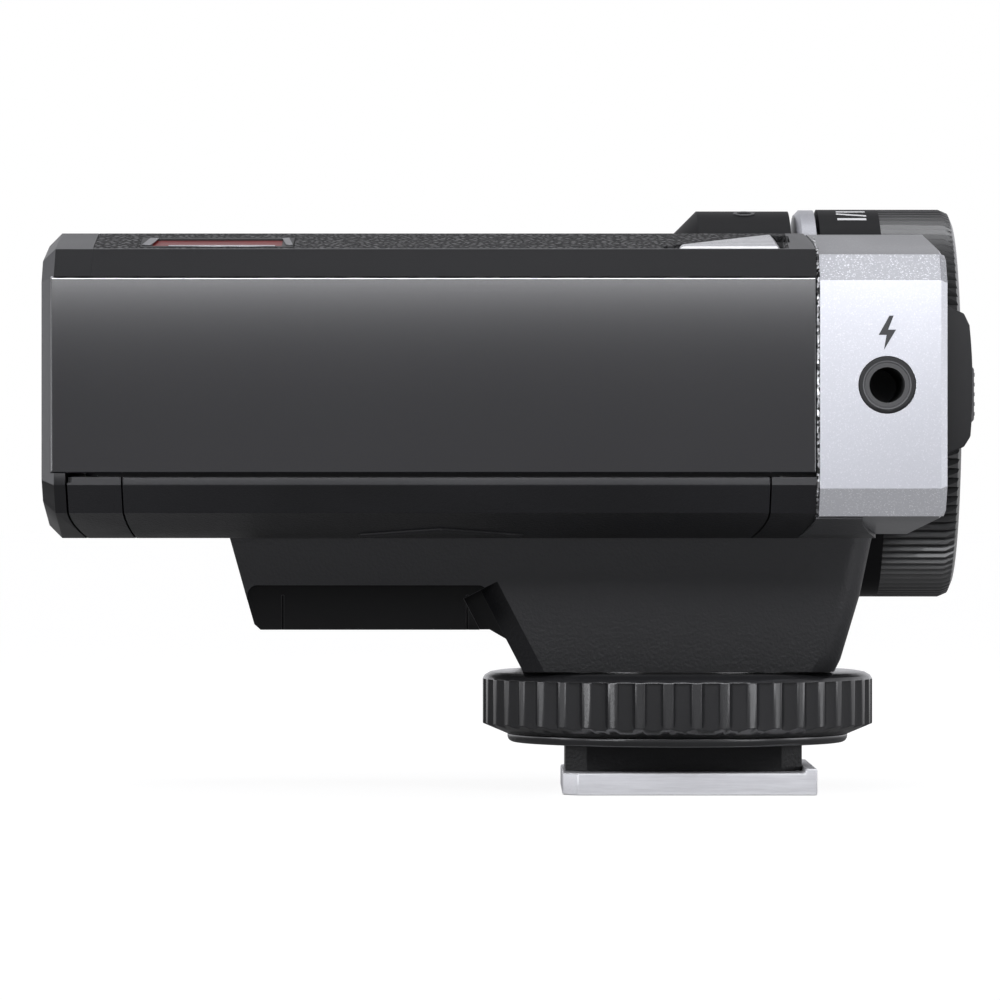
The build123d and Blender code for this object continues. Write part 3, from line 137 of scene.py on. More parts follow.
def merged_copy(node, name):
    """A copy of a CAD node with its loose triangles merged into whole faces."""
    select_only(nodes[node])
    bpy.ops.object.duplicate()
    piece = bpy.context.active_object
    bpy.ops.object.parent_clear(type="CLEAR_KEEP_TRANSFORM")
    piece.name = piece.data.name = name
    piece.data.materials.clear()
    del piece["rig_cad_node"]
    edit(
        piece,
        lambda: bpy.ops.mesh.customdata_custom_splitnormals_clear(),
        lambda: bpy.ops.mesh.remove_doubles(threshold=0.002 * MM),
        lambda: bpy.ops.mesh.dissolve_limited(angle_limit=radians(0.4)),
    )
    return piece


def stand_in(piece, *stood_for):
    """The piece rides where these nodes ride, and hides them."""
    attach(piece, nodes[stood_for[0]]["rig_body"])
    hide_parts(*stood_for)


def softened(node, name, width, segments=2, angle=24, **settings):
    """A copy of a CAD node whose edges are rounded, standing in for the node."""
    piece = merged_copy(node, name)
    apply_modifier(
        piece,
        "BEVEL",
        width=width * MM,
        segments=segments,
        limit_method="ANGLE",
        angle_limit=radians(angle),
        **settings,
    )
    smooth(piece)
    apply_modifier(piece, "WEIGHTED_NORMAL", keep_sharp=True, weight=80)
    stand_in(piece, node)
    return piece


def paint(finish, *pieces):
    for piece in pieces:
        piece.data.materials.clear()
        piece.data.materials.append(finish)


# ---------------------------------------------------------------- node trees
class Wiring:
    """Adds and joins the nodes of one material or node group."""

    def __init__(self, tree):
        self.tree = tree

    def put(self, socket, value):
        if isinstance(value, bpy.types.NodeSocket):
            self.tree.links.new(value, socket)
        else:
            socket.default_value = value

    def add(self, kind, *values, **settings):
        """A node with values for its first inputs, and settings by input or property name."""
        node = self.tree.nodes.new("ShaderNode" + kind)
        for setting, value in settings.items():
            if setting[0].islower():
                setattr(node, setting, value)
        for socket, value in zip(node.inputs, values):
            if value is not None:
                self.put(socket, value)
        for setting, value in settings.items():
            if setting[0].isupper():
                self.put(node.inputs[setting.replace("_", " ")], value)
        return node

    def math(self, operation, *values, clamp=False):
        return self.add("Math", *values, operation=operation, use_clamp=clamp).outputs[0]

    def between(self, value, low, high):
        """Value spread from 0 at low to 1 at high, clamped."""
        return self.add("MapRange", value, low, high, 0.0, 1.0).outputs[0]

    def blend(self, share, first, second):
        """A colour between two others."""
        mix = self.add("Mix", data_type="RGBA")
        for socket, value in zip((0, 6, 7), (share, first, second)):
            self.put(mix.inputs[socket], value)
        return mix.outputs[2]

    def place(self):
        """Where the shaded point is on the object, in metres."""
        return self.add("TexCoord").outputs["Object"]


def node_group(name, inputs, outputs):
    """An empty shader group with these sockets, and its wiring and ends."""
    group = bpy.data.node_groups.new(name, "ShaderNodeTree")
    for socket, default in inputs.items():
        made = group.interface.new_socket(socket, in_out="INPUT", socket_type="NodeSocketFloat")
        made.default_value = default
    for socket, kind in outputs.items():
        group.interface.new_socket(socket, in_out="OUTPUT", socket_type="NodeSocket" + kind)
    wiring = Wiring(group)
    given = group.nodes.new("NodeGroupInput").outputs
    result = group.nodes.new("NodeGroupOutput").inputs
    return group, wiring, given, result


def per_metre(wiring, size):
    """Turn a feature size in millimetres into a texture scale."""
    return wiring.math("DIVIDE", 1000.0, size)


# Fine moulded or painted texture, with a slow change of tone across the part
grain_group, w, given, result = node_group(
    "fine_grain", {"Size": 0.2, "Drift": 14.0}, {"Height": "Float", "Tone": "Float"}
)
fine = w.add("TexNoise", Vector=w.place(), Scale=per_metre(w, given["Size"]), Detail=3.0)
slow = w.add("TexNoise", Vector=w.place(), Scale=per_metre(w, given["Drift"]), Detail=2.0)
w.put(result["Height"], fine.outputs["Fac"])
w.put(result["Tone"], w.between(slow.outputs["Fac"], 0.3, 0.7))

# Pebbled hide: rounded cells of uneven height, parted by creases
hide_group, w, given, result = node_group(
    "pebbled_hide", {"Size": 0.4}, {"Height": "Float", "Crease": "Float"}
)
warp = w.add("TexNoise", Vector=w.place(), Scale=per_metre(w, given["Size"]), Detail=1.0)
shift = w.add("VectorMath", warp.outputs["Color"], operation="SCALE", Scale=0.22 * MM)
spot = w.add("VectorMath", w.place(), shift.outputs[0], operation="ADD").outputs[0]
cells = w.add("TexVoronoi", Vector=spot, Scale=per_metre(w, given["Size"]), feature="DISTANCE_TO_EDGE")
lumps = w.add("TexVoronoi", Vector=spot, Scale=per_metre(w, given["Size"]))
pore = w.add("TexNoise", Vector=w.place(), Scale=9000.0, Detail=2.0)
dome = w.between(cells.outputs["Distance"], 0.0, 0.3)
uneven = w.math("MULTIPLY_ADD", w.add("SeparateColor", lumps.outputs["Color"]).outputs[0], 0.5, 0.5)
w.put(
    result["Height"],
    w.math("MULTIPLY_ADD", pore.outputs["Fac"], 0.15, w.math("MULTIPLY", dome, uneven)),
)
w.put(result["Crease"], w.math("SUBTRACT", 1.0, dome))

# Metal flakes in paint, each tilted its own way
flake_group, w, given, result = node_group(
    "metal_flakes", {"Size": 0.1, "Tilt": 0.3, "Share": 0.18}, {"Normal": "Vector", "Glint": "Float"}
)
flakes = w.add("TexVoronoi", Vector=w.place(), Scale=per_metre(w, given["Size"]))
tilt = w.add("VectorMath", flakes.outputs["Color"], (0.5, 0.5, 0.5), operation="SUBTRACT")
lean = w.add("VectorMath", tilt.outputs[0], operation="SCALE", Scale=given["Tilt"])
facing = w.add("NewGeometry").outputs["Normal"]
leaning = w.add("VectorMath", facing, lean.outputs[0], operation="ADD")
w.put(result["Normal"], w.add("VectorMath", leaning.outputs[0], operation="NORMALIZE").outputs[0])
bright = w.add("SeparateColor", flakes.outputs["Color"]).outputs[1]
w.put(result["Glint"], w.between(bright, w.math("SUBTRACT", 1.0, given["Share"]), 1.0))

# Brushed lines along X, and lines spun round an axis along X
brush_group, w, given, result = node_group(
    "brushed_lines", {"Spacing": 0.05, "Length": 3.0}, {"Height": "Float", "Tone": "Float"}
)
parts = w.add("SeparateXYZ", w.place()).outputs
along = w.math("DIVIDE", parts[0], given["Length"])
across = [w.math("DIVIDE", parts[i], given["Spacing"]) for i in (1, 2)]
stretched = w.add("CombineXYZ", along, *across).outputs[0]
lines = w.add("TexNoise", Vector=stretched, Scale=1000.0, Detail=4.0, Roughness=0.7)
w.put(result["Height"], lines.outputs["Fac"])
w.put(result["Tone"], w.between(lines.outputs["Fac"], 0.35, 0.65))

spun_group, w, given, result = node_group(
    "spun_lines", {"Axis Y": 0.0, "Axis Z": 0.0, "Spacing": 0.08}, {"Height": "Float", "Tone": "Float"}
)
parts = w.add("SeparateXYZ", w.place()).outputs
away_y = w.math("SUBTRACT", parts[1], given["Axis Y"])
away_z = w.math("SUBTRACT", parts[2], given["Axis Z"])
radius = w.math("SQRT", w.math("ADD", w.math("POWER", away_y, 2.0), w.math("POWER", away_z, 2.0)))
rings = w.add("TexNoise", noise_dimensions="1D", Detail=3.0, Scale=per_metre(w, given["Spacing"]))
w.put(rings.inputs["W"], radius)
w.put(result["Height"], rings.outputs["Fac"])
w.put(result["Tone"], w.between(rings.outputs["Fac"], 0.35, 0.65))


# ---------------------------------------------------------------- finishes
class Finish(Wiring):
    """A material round one Principled shader."""

    def __init__(self, name, **sockets):
        self.material = bpy.data.materials.new(name)
        self.material.use_nodes = True
        super().__init__(self.material.node_tree)
        self.shader = self.tree.nodes["Principled BSDF"]
        self.set(**sockets)

    def set(self, **sockets):
        for socket, value in sockets.items():
            if isinstance(value, tuple):
                value = (*value, 1.0)
            self.put(self.shader.inputs[socket.replace("_", " ")], value)

    def use(self, group, **values):
        """Place a node group, with its values, and return its outputs."""
        node = self.tree.nodes.new("ShaderNodeGroup")
        node.node_tree = group
        for socket, value in values.items():
            self.put(node.inputs[socket.replace("_", " ")], value)
        return node.outputs

    def rough(self, low, high, share):
        """Roughness that runs between two values with a mask."""
        self.set(Roughness=self.math("MULTIPLY_ADD", share, high - low, low))

    def tint(self, first, second, share):
        self.set(Base_Color=self.blend(share, (*first, 1.0), (*second, 1.0)))

    def bump(self, height, depth):
        """Relief of this depth in millimetres."""
        relief = self.add("Bump", Strength=1.0, Distance=depth * MM, Height=height)
        self.set(Normal=relief.outputs[0])


def moulded(name, dark, light, roughness, size, depth, drift=14.0, specular=0.32, **sockets):
    """Moulded plastic with a fine eroded grain."""
    finish = Finish(name, Specular_IOR_Level=specular, **sockets)
    grain = finish.use(grain_group, Size=size, Drift=drift)
    finish.tint(dark, light, grain["Tone"])
    finish.rough(roughness - 0.04, roughness + 0.05, grain["Tone"])
    finish.bump(grain["Height"], depth)
    return finish.material


def brushed(name, dark, light, roughness, spacing, length, depth=0.004, metallic=1.0):
    """Metal brushed along X."""
    finish = Finish(name, Metallic=metallic)
    lines = finish.use(brush_group, Spacing=spacing, Length=length)
    finish.tint(dark, light, lines["Tone"])
    finish.rough(roughness - 0.06, roughness + 0.06, lines["Tone"])
    finish.bump(lines["Height"], depth)
    return finish.material


shell_black = moulded(
    "shell_black", (0.009, 0.009, 0.010), (0.012, 0.012, 0.013), 0.42, 0.16, 0.006, specular=0.26
)
# grained black for the lower shell and door; it also serves as painted shade on the neck's downward front
# facets
grained_black_and_shade = moulded("grained_black_and_shade", (0.009, 0.009, 0.010), (0.014, 0.014, 0.016), 0.36, 0.24, 0.05)
# painted light: a paler copy of the black for the side-facing flats of the lower shell and the door
flat_painted_light = moulded("flat_painted_light", (0.03, 0.03, 0.032), (0.037, 0.037, 0.039), 0.38, 0.16, 0.006)
bezel_black = moulded(
    "bezel_black", (0.009, 0.009, 0.010), (0.012, 0.012, 0.013), 0.38, 0.3, 0.004, specular=0.24
)
# painted shade: a near-black copy for the label recess on the neck's sides
label_painted_shade = moulded(
    "label_painted_shade", (0.003, 0.003, 0.0033), (0.005, 0.005, 0.0055), 0.5, 0.1, 0.003, specular=0.15
)
dial_black = moulded(
    "dial_black", (0.018, 0.018, 0.019), (0.023, 0.023, 0.024), 0.4, 0.3, 0.003, specular=0.02
)
# a paler grey: the index mark's printed colour, and painted light on the bezel's front chamfers, the upward
# rim faces and the jack's inner chamfer
print_and_painted_light_grey = moulded("print_and_painted_light_grey", (0.078, 0.078, 0.081), (0.09, 0.09, 0.094), 0.45, 0.2, 0.004, specular=0.4)
knurl_grey = moulded(
    "knurl_grey", (0.022, 0.022, 0.023), (0.03, 0.03, 0.031), 0.4, 0.3, 0.003, specular=1.0, Coat_Weight=0.3
)
ring_black = moulded(
    "ring_black", (0.018, 0.018, 0.019), (0.025, 0.025, 0.027), 0.22, 0.25, 0.006, specular=0.95
)
grip_grey = moulded("grip_grey", (0.40, 0.40, 0.41), (0.44, 0.44, 0.45), 0.42, 0.2, 0.006)
knob_grey = moulded("knob_grey", (0.06, 0.06, 0.063), (0.075, 0.075, 0.078), 0.42, 0.25, 0.008)
insulator = moulded("insulator", (0.045, 0.045, 0.047), (0.06, 0.06, 0.062), 0.5, 0.3, 0.006)
silicone = moulded("silicone", (0.55, 0.2, 0.16), (0.62, 0.24, 0.19), 0.6, 0.5, 0.004)
component = moulded("component", (0.03, 0.03, 0.031), (0.05, 0.05, 0.051), 0.5, 0.2, 0.005)
white_ink = moulded("white_ink", (0.82, 0.82, 0.83), (0.88, 0.88, 0.89), 0.5, 0.08, 0.003)
dark_ink = moulded("dark_ink", (0.02, 0.02, 0.022), (0.035, 0.035, 0.037), 0.45, 0.08, 0.003)

# painted highlight: a near-white for the foot plate's rounded edges
painted_edge_highlight = moulded("painted_edge_highlight", (0.8, 0.8, 0.82), (0.9, 0.9, 0.92), 0.3, 0.3, 0.01)
# painted highlight: bright metal for the side plates' top edges only
painted_top_edge_highlight = brushed("painted_top_edge_highlight", (0.7, 0.7, 0.72), (0.78, 0.78, 0.8), 0.25, 0.1, 3.0, 0.001)
bright_metal = brushed("bright_metal", (0.6, 0.6, 0.62), (0.82, 0.82, 0.84), 0.3, 0.06, 4.0)
dull_metal = brushed("dull_metal", (0.26, 0.26, 0.27), (0.34, 0.34, 0.35), 0.34, 0.06, 2.0)
plated_steel = brushed(
    "plated_steel", (0.84, 0.84, 0.87), (0.92, 0.92, 0.95), 0.38, 0.12, 2.5, 0.003, metallic=0.45
)
spring_steel = brushed("spring_steel", (0.5, 0.5, 0.5), (0.6, 0.6, 0.6), 0.3, 0.15, 1.0)
brass = brushed("brass", (0.68, 0.5, 0.22), (0.78, 0.6, 0.3), 0.3, 0.12, 1.5)
copper = brushed("copper", (0.65, 0.3, 0.16), (0.78, 0.4, 0.22), 0.35, 0.2, 6.0)
mirror = brushed("mirror", (0.86, 0.86, 0.87), (0.92, 0.92, 0.93), 0.12, 0.3, 3.0, 0.001)

# Semi-gloss paint with a faint orange peel on the side plates
finish = Finish("panel_black", Specular_IOR_Level=0.0, Coat_Weight=1.0, Coat_Roughness=0.15, Coat_IOR=1.9)
peel = finish.use(grain_group, Size=0.55, Drift=18.0)
dust = finish.use(grain_group, Size=0.12, Drift=6.0)
finish.tint((0.006, 0.006, 0.008), (0.008, 0.008, 0.010), peel["Tone"])
finish.rough(0.2, 0.26, dust["Height"])
finish.bump(peel["Height"], 0.006)
panel_black = finish.material

# Grained plastic of the neck, with painted light and shade: written paler towards its top, where the body's
# overhang keeps the light off, and darker towards its foot
finish = Finish("housing_painted_light_and_shade", Specular_IOR_Level=0.32)
grain = finish.use(grain_group, Size=0.26, Drift=14.0)
height = finish.add("SeparateXYZ", finish.place()).outputs[2]
finish.tint((0.008, 0.008, 0.009), (0.066, 0.066, 0.07), finish.between(height, 10 * MM, 21 * MM))
finish.rough(0.36, 0.45, grain["Tone"])
finish.bump(grain["Height"], 0.04)
housing_painted_light_and_shade = finish.material

# Leatherette, its colour darkened towards the creases between the pebbles as painted shade
finish = Finish("hide_black", Specular_IOR_Level=0.4)
pebbles = finish.use(hide_group, Size=0.5)
finish.tint((0.04, 0.04, 0.042), (0.003, 0.003, 0.0035), pebbles["Crease"])
finish.rough(0.36, 0.8, pebbles["Crease"])
finish.bump(pebbles["Height"], 0.2)
hide_black = finish.material

# Metallic sparkle paint: one paint, with copies for painted light and shade: paler on faces slanting down,
# darker on faces that face straight up or down, and stronger painted glints on the other slants; the seam's
# copy is near-black with dense flecks
def sparkling(name, deep, glint, tilt, size=0.08, share=0.18):
    finish = Finish(name, Metallic=0.55, Coat_Weight=0.35, Coat_Roughness=0.18)
    flakes = finish.use(flake_group, Size=size, Tilt=tilt, Share=share)
    drift = finish.use(grain_group, Size=0.5, Drift=20.0)
    finish.tint(deep, glint, flakes["Glint"])
    finish.rough(0.36, 0.44, drift["Tone"])
    finish.set(Normal=flakes["Normal"])
    return finish.material


silver_paint = sparkling("silver_paint", (0.45, 0.455, 0.49), (0.54, 0.545, 0.58), 0.03)
silver_slant_painted_glint = sparkling("silver_slant_painted_glint", (0.46, 0.465, 0.495), (0.84, 0.845, 0.88), 0.12)
silver_under_painted_light = sparkling("silver_under_painted_light", (0.66, 0.665, 0.7), (0.95, 0.955, 0.99), 0.1)
silver_deck_painted_shade = sparkling("silver_deck_painted_shade", (0.26, 0.262, 0.275), (0.32, 0.322, 0.336), 0.03)
silver_seam = sparkling("silver_seam", (0.01, 0.01, 0.011), (0.98, 0.98, 1.0), 0.5, 0.22, 0.7)

# Spun black aluminium of the dial's cap
dial_low, dial_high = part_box("power_dial")
AXIS_Y, AXIS_Z = (dial_low.y + dial_high.y) / 2, (dial_low.z + dial_high.z) / 2
finish = Finish("dial_face", Metallic=0.9)
spun = finish.use(spun_group, Axis_Y=AXIS_Y, Axis_Z=AXIS_Z, Spacing=0.12)
finish.tint((0.05, 0.05, 0.052), (0.075, 0.075, 0.078), spun["Tone"])
finish.rough(0.28, 0.38, spun["Tone"])
finish.bump(spun["Height"], 0.006)
dial_face = finish.material

# Clear and coloured windows
finish = Finish("lens_clear", Transmission_Weight=1.0, IOR=1.49, Base_Color=(0.95, 0.97, 0.97))
film = finish.use(grain_group, Size=0.4, Drift=9.0)
finish.rough(0.015, 0.05, film["Tone"])
finish.bump(film["Height"], 0.002)
lens_clear = finish.material

finish = Finish("tube_glass", Transmission_Weight=0.9, IOR=1.47, Base_Color=(0.97, 0.99, 1.0))
film = finish.use(grain_group, Size=0.5, Drift=5.0)
finish.rough(0.0, 0.04, film["Tone"])
tube_glass = finish.material

finish = Finish("smoked_lens", Coat_Weight=1.0, Coat_Roughness=0.03, Specular_IOR_Level=0.6)
film = finish.use(grain_group, Size=0.4, Drift=4.0)
finish.tint((0.012, 0.004, 0.006), (0.02, 0.007, 0.01), film["Tone"])
finish.rough(0.06, 0.1, film["Tone"])
smoked_lens = finish.material

finish = Finish("red_window", Specular_IOR_Level=0.3)
film = finish.use(grain_group, Size=0.25, Drift=6.0)
finish.tint((0.16, 0.012, 0.012), (0.24, 0.02, 0.018), film["Tone"])
finish.rough(0.3, 0.4, film["Tone"])
finish.bump(film["Height"], 0.003)
red_window = finish.material

finish = Finish("lamp", Transmission_Weight=0.4, IOR=1.5, Coat_Weight=0.5, Coat_Roughness=0.05)
film = finish.use(grain_group, Size=0.3, Drift=2.0)
finish.tint((0.62, 0.14, 0.1), (0.72, 0.22, 0.15), film["Tone"])
finish.rough(0.15, 0.25, film["Tone"])
lamp_red = finish.material

# Circuit board with its tracks, and the cells' two-tone sleeves
finish = Finish("board", Specular_IOR_Level=0.6)
tracks = finish.add("TexBrick", Vector=finish.place(), Scale=1.0 / MM)
for setting, value in {"Mortar Size": 0.12, "Brick Width": 3.1, "Row Height": 0.9}.items():
    tracks.inputs[setting].default_value = value
finish.tint((0.01, 0.07, 0.035), (0.02, 0.13, 0.06), tracks.outputs["Fac"])
finish.rough(0.3, 0.42, tracks.outputs["Fac"])
finish.bump(tracks.outputs["Fac"], 0.02)
board = finish.material

cell_low, cell_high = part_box("aaa_cells")
finish = Finish("cell", Metallic=0.7)
span = finish.add("SeparateXYZ", finish.place()).outputs[0]
share = finish.between(span, cell_low.x, cell_high.x)
sleeve = finish.math("GREATER_THAN", finish.math("ABSOLUTE", finish.math("SUBTRACT", share, 0.5)), 0.3)
foil = finish.use(grain_group, Size=0.3, Drift=6.0)
finish.tint((0.03, 0.03, 0.032), (0.55, 0.36, 0.12), sleeve)
finish.rough(0.25, 0.34, foil["Tone"])
finish.bump(foil["Height"], 0.003)
cell = finish.material

finish = Finish("can")
sleeve = finish.use(grain_group, Size=0.4, Drift=10.0)
finish.tint((0.012, 0.014, 0.03), (0.018, 0.02, 0.042), sleeve["Tone"])
finish.rough(0.28, 0.4, sleeve["Tone"])
can = finish.material

FINISH_OF_SLOT = {
    "bezel_black": bezel_black,
    "shell_black": shell_black,
    "panel_black": panel_black,
    "hide_black": hide_black,
    "silver_paint": silver_paint,
    "bright_metal": bright_metal,
    "plated_steel": plated_steel,
    "knurl_black": dial_black,
    "dial_face": dial_face,
    "ring_black": ring_black,
    "grip_grey": grip_grey,
    "white_ink": white_ink,
    "lens_clear": lens_clear,
    "tube_glass": tube_glass,
    "smoked_lens": smoked_lens,
    "red_window": red_window,
    "lamp": lamp_red,
    "reflector": mirror,
    "silicone": silicone,
    "component": component,
    "spring": spring_steel,
    "insulator": insulator,
    "cell": cell,
    "board": board,
    "can": can,
    "copper": copper,
    "brass": brass,
}
for name, part in nodes.items():
    paint(FINISH_OF_SLOT[slot_of[name]], part)

# ---------------------------------------------------------------- rounded stand-ins for the mouldings
# node: name of the piece, rounding in millimetres
SOFT_EDGES = {
    "front_bezel": ("head_bezel", 0.2),
    "upper_shell": ("top_cover", 0.1),
    "top_leatherette": ("top_hide", 0.09),
    "side_panel_left": ("near_side_plate", 0.05),
    "side_panel_right": ("far_side_plate", 0.05),
    "lower_shell": ("bottom_cover", 0.13),
    "battery_door": ("bay_door", 0.13),
    "rear_bezel": ("silver_block", 0.17),
    "foot_housing": ("neck_housing", 0.3),
    "shoe_stem": ("foot_block", 0.15),
    "lock_ring": ("fluted_ring", 0.12),
    "clamp_plate": ("clamp_disc", 0.08),
    "thumb_lever": ("lift_lever", 0.05),
    "sensor_window_frame": ("window_surround", 0.08),
    "switch_surround": ("switch_hood", 0.18),
    "power_slider": ("switch_knob", 0.12),
    "test_button": ("button_cap", 0.12),
    "rear_panel": ("control_plate", 0.1),
    "jack_collar": ("jack_ring", 0.14),
    "dial_cap": ("cap_disc", 0.08),
}
pieces = {}
for node, (name, width) in SOFT_EDGES.items():
    pieces[name] = softened(node, name, width)
    paint(FINISH_OF_SLOT[slot_of[node]], pieces[name])
pieces["foot_plate"] = softened("shoe_plate", "foot_plate", 0.17, use_clamp_overlap=False)
paint(plated_steel, pieces["foot_plate"])
# the neck and stem take the grained black with painted light towards the top and painted shade low down
paint(housing_painted_light_and_shade, pieces["neck_housing"], pieces["foot_block"])
paint(grained_black_and_shade, pieces["bottom_cover"], pieces["bay_door"])
paint(bezel_black, pieces["switch_hood"])
paint(knob_grey, pieces["switch_knob"])

# ---------------------------------------------------------------- second finishes on some faces
def paint_faces(piece, finish, wanted):
    """Give the faces that wanted(centre, normal) picks a finish of their own."""
    piece.data.materials.append(finish)
    for face in piece.data.polygons:
        if wanted(face.center, face.normal):
            face.material_index = len(piece.data.materials) - 1


# the dial's knurl is kept, and its smooth band becomes a clean sleeve
KNURL_X = 16.75 * MM
wheel = merged_copy("power_dial", "power_wheel")
smooth(wheel, 25)
stand_in(wheel, "power_dial")
wheel.data.materials.append(dial_black)


def off_axis(point):
    """Squared distance from the dial's axis."""
    return (point.y - AXIS_Y) ** 2 + (point.z - AXIS_Z) ** 2


band_r = max(off_axis(v.co) for v in wheel.data.vertices if v.co.x < KNURL_X) ** 0.5
edit(
    wheel,
    lambda: bpy.ops.mesh.select_mode(type="FACE"),
    lambda: bpy.ops.mesh.bisect(plane_co=(KNURL_X, 0, 0), plane_no=(1, 0, 0)),
    lambda: bpy.ops.mesh.select_all(action="DESELECT"),
)
for face in wheel.data.polygons:
    on_band = face.center.x < KNURL_X and off_axis(face.center) > (0.97 * band_r) ** 2
    face.select = on_band and abs(face.normal.x) < 0.1
band_xs = [
    wheel.data.vertices[i].co.x for face in wheel.data.polygons if face.select for i in face.vertices
]
bpy.ops.object.mode_set(mode="EDIT")
bpy.ops.mesh.delete(type="FACE")
bpy.ops.object.mode_set(mode="OBJECT")
bpy.ops.mesh.primitive_cylinder_add(
    vertices=160, radius=band_r, depth=max(band_xs) - min(band_xs), end_fill_type="NOTHING"
)
sleeve = bpy.context.active_object
middle_x = (max(band_xs) + min(band_xs)) / 2
settle(sleeve, Matrix.Translation((middle_x, AXIS_Y, AXIS_Z)) @ Matrix.Rotation(pi / 2, 4, "Y"))
sleeve.data.materials.append(dial_black)
join("power_wheel", [wheel, sleeve])
smooth(wheel, 25)
paint_faces(wheel, knurl_grey, lambda c, n: c.x > KNURL_X)

# painted light on the rims, a darker hump, and painted light and shade on the silver block's facets
RIM_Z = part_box("upper_shell")[0].z + 17.4 * MM
HUMP_Z = cad_box[1][2] - 3.4 * MM
SIDE_LOW_Z = 24.6 * MM
# painted light: the bezel's front chamfers and the upward faces of the rims are paler
paint_faces(pieces["head_bezel"], print_and_painted_light_grey, lambda c, n: n.x < -0.5 and abs(n.y) > 0.5 and c.z > SIDE_LOW_Z)
paint_faces(pieces["head_bezel"], print_and_painted_light_grey, lambda c, n: c.z > RIM_Z and n.z > 0.9)
paint_faces(pieces["top_cover"], print_and_painted_light_grey, lambda c, n: RIM_Z < c.z < HUMP_Z and n.z > 0.9)
paint_faces(pieces["top_cover"], dial_black, lambda c, n: c.z > HUMP_Z)
# painted highlight: the top edge of each side plate is bright metal
for name in ("near_side_plate", "far_side_plate"):
    top = max(v.co.z for v in pieces[name].data.vertices)
    paint_faces(pieces[name], painted_top_edge_highlight, lambda c, n: c.z > top - 0.2 * MM and 0.1 < n.z < 0.97)
for name in ("bottom_cover", "bay_door"):
    # painted light: the side-facing flats take the paler black
    paint_faces(pieces[name], flat_painted_light, lambda c, n: abs(n.y) > 0.95)
BAND_LOW_Z = 44.3 * MM
silver = pieces["silver_block"]
# painted light and shade on one silver paint: stronger painted glints on the slants, paler downward slants, a
# darker deck
paint_faces(silver, silver_slant_painted_glint, lambda c, n: 0.2 < abs(n.z) < 0.98 and c.z < BAND_LOW_Z)
paint_faces(silver, silver_under_painted_light, lambda c, n: -0.98 < n.z < -0.2)
paint_faces(silver, silver_deck_painted_shade, lambda c, n: 0.9 < abs(n.z) and c.z < BAND_LOW_Z)
paint_faces(silver, silver_seam, lambda c, n: -0.98 < n.x < -0.2 and c.z < BAND_LOW_Z)
# painted highlight: the lever's near-facing edge faces take the white
paint_faces(pieces["lift_lever"], white_ink, lambda c, n: n.y < -0.6)
# painted highlight on the foot plate's upper and lower rounded edges
paint_faces(pieces["foot_plate"], painted_edge_highlight, lambda c, n: 0.2 < abs(n.z) < 0.96)
JACK_Z = sum(corner.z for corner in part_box("jack_collar")) / 2
JACK_X = sum(corner.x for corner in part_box("jack_collar")) / 2
# painted highlight: the jack collar's inward chamfer faces take the paler grey
paint_faces(
    pieces["jack_ring"],
    print_and_painted_light_grey,
    lambda c, n: -0.95 < n.y < -0.3 and (c.x - JACK_X) * n.x + (c.z - JACK_Z) * n.z < 0,
)
LABEL_DEPTH = 0.25 * MM
# painted shade: the neck's front facets that face down take the darker grained black
paint_faces(
    pieces["neck_housing"], grained_black_and_shade, lambda c, n: n.x < -0.35 and -0.95 < n.z < -0.1 and c.z < 20 * MM
)
HOUSING_SIDE_Y = 12.0 * MM
# painted shade: the label recess's floor on each side of the neck is darkened
paint_faces(
    pieces["neck_housing"],
    label_painted_shade,
    lambda c, n: abs(abs(n.y) - 1) < 0.01 and abs(c.y) < HOUSING_SIDE_Y - 0.8 * LABEL_DEPTH and c.z < 17 * MM,
)

# ---------------------------------------------------------------- printed marks
INK = 0.03 * MM


def flat_shape(name, *outlines, thickness=INK):
    """A plate from flat outlines given in millimetres, lying in its own XY plane."""
    curve = bpy.data.curves.new(name, "CURVE")
    curve.dimensions, curve.fill_mode, curve.extrude = "2D", "BOTH", thickness / 2
    for outline in outlines:
        spline = curve.splines.new("POLY")
        spline.points.add(len(outline) - 1)
        for point, (x, y) in zip(spline.points, outline):
            point.co = (x * MM, y * MM, 0.0, 1.0)
        spline.use_cyclic_u = True
    shape = bpy.data.objects.new(name, curve)
    bpy.context.scene.collection.objects.link(shape)
    return meshed(shape)


def meshed(shape):
    """Turn a curve or text into a mesh with joined sides."""
    select_only(shape)
    bpy.ops.object.convert(target="MESH")
    edit(shape, lambda: bpy.ops.mesh.remove_doubles(threshold=0.001 * MM))
    return shape


def lettering(name, words, size):
    bpy.ops.object.text_add()
    text = bpy.context.active_object
    text.name = text.data.name = name
    text.data.body, text.data.size = words, size * MM
    text.data.align_x = text.data.align_y = "CENTER"
    text.data.extrude, text.data.offset = INK / 2, 0.02 * size * MM
    return meshed(text)


# power steps round the dial's smooth band, the first one at the index mark
DIAL_R = (dial_high.z - dial_low.z) / 2
BAND_MIDDLE_X = 14.65 * MM
STEP, FIRST = radians(30), radians(16)
numbers = []
for step, power in enumerate(("1/1", "1/2", "1/4", "1/8", "1/16", "1/32", "1/64")):
    number = lettering(f"step_{step}", power, 3.3)
    for vertex in number.data.vertices:
        turn, lift = vertex.co.x / DIAL_R, DIAL_R + vertex.co.z + 0.3 * INK
        vertex.co.x, vertex.co.z = lift * sin(turn), lift * cos(turn)
    place = Matrix.Translation((BAND_MIDDLE_X, AXIS_Y, AXIS_Z))
    place @= Matrix.Rotation(FIRST - step * STEP, 4, "X") @ Matrix.Rotation(pi / 2, 4, "Z")
    settle(number, place)
    numbers.append(number)
dial_numbers = join("dial_numbers", numbers)
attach(dial_numbers, "dial")
paint(white_ink, dial_numbers)

paint(print_and_painted_light_grey, nodes["index_mark"])

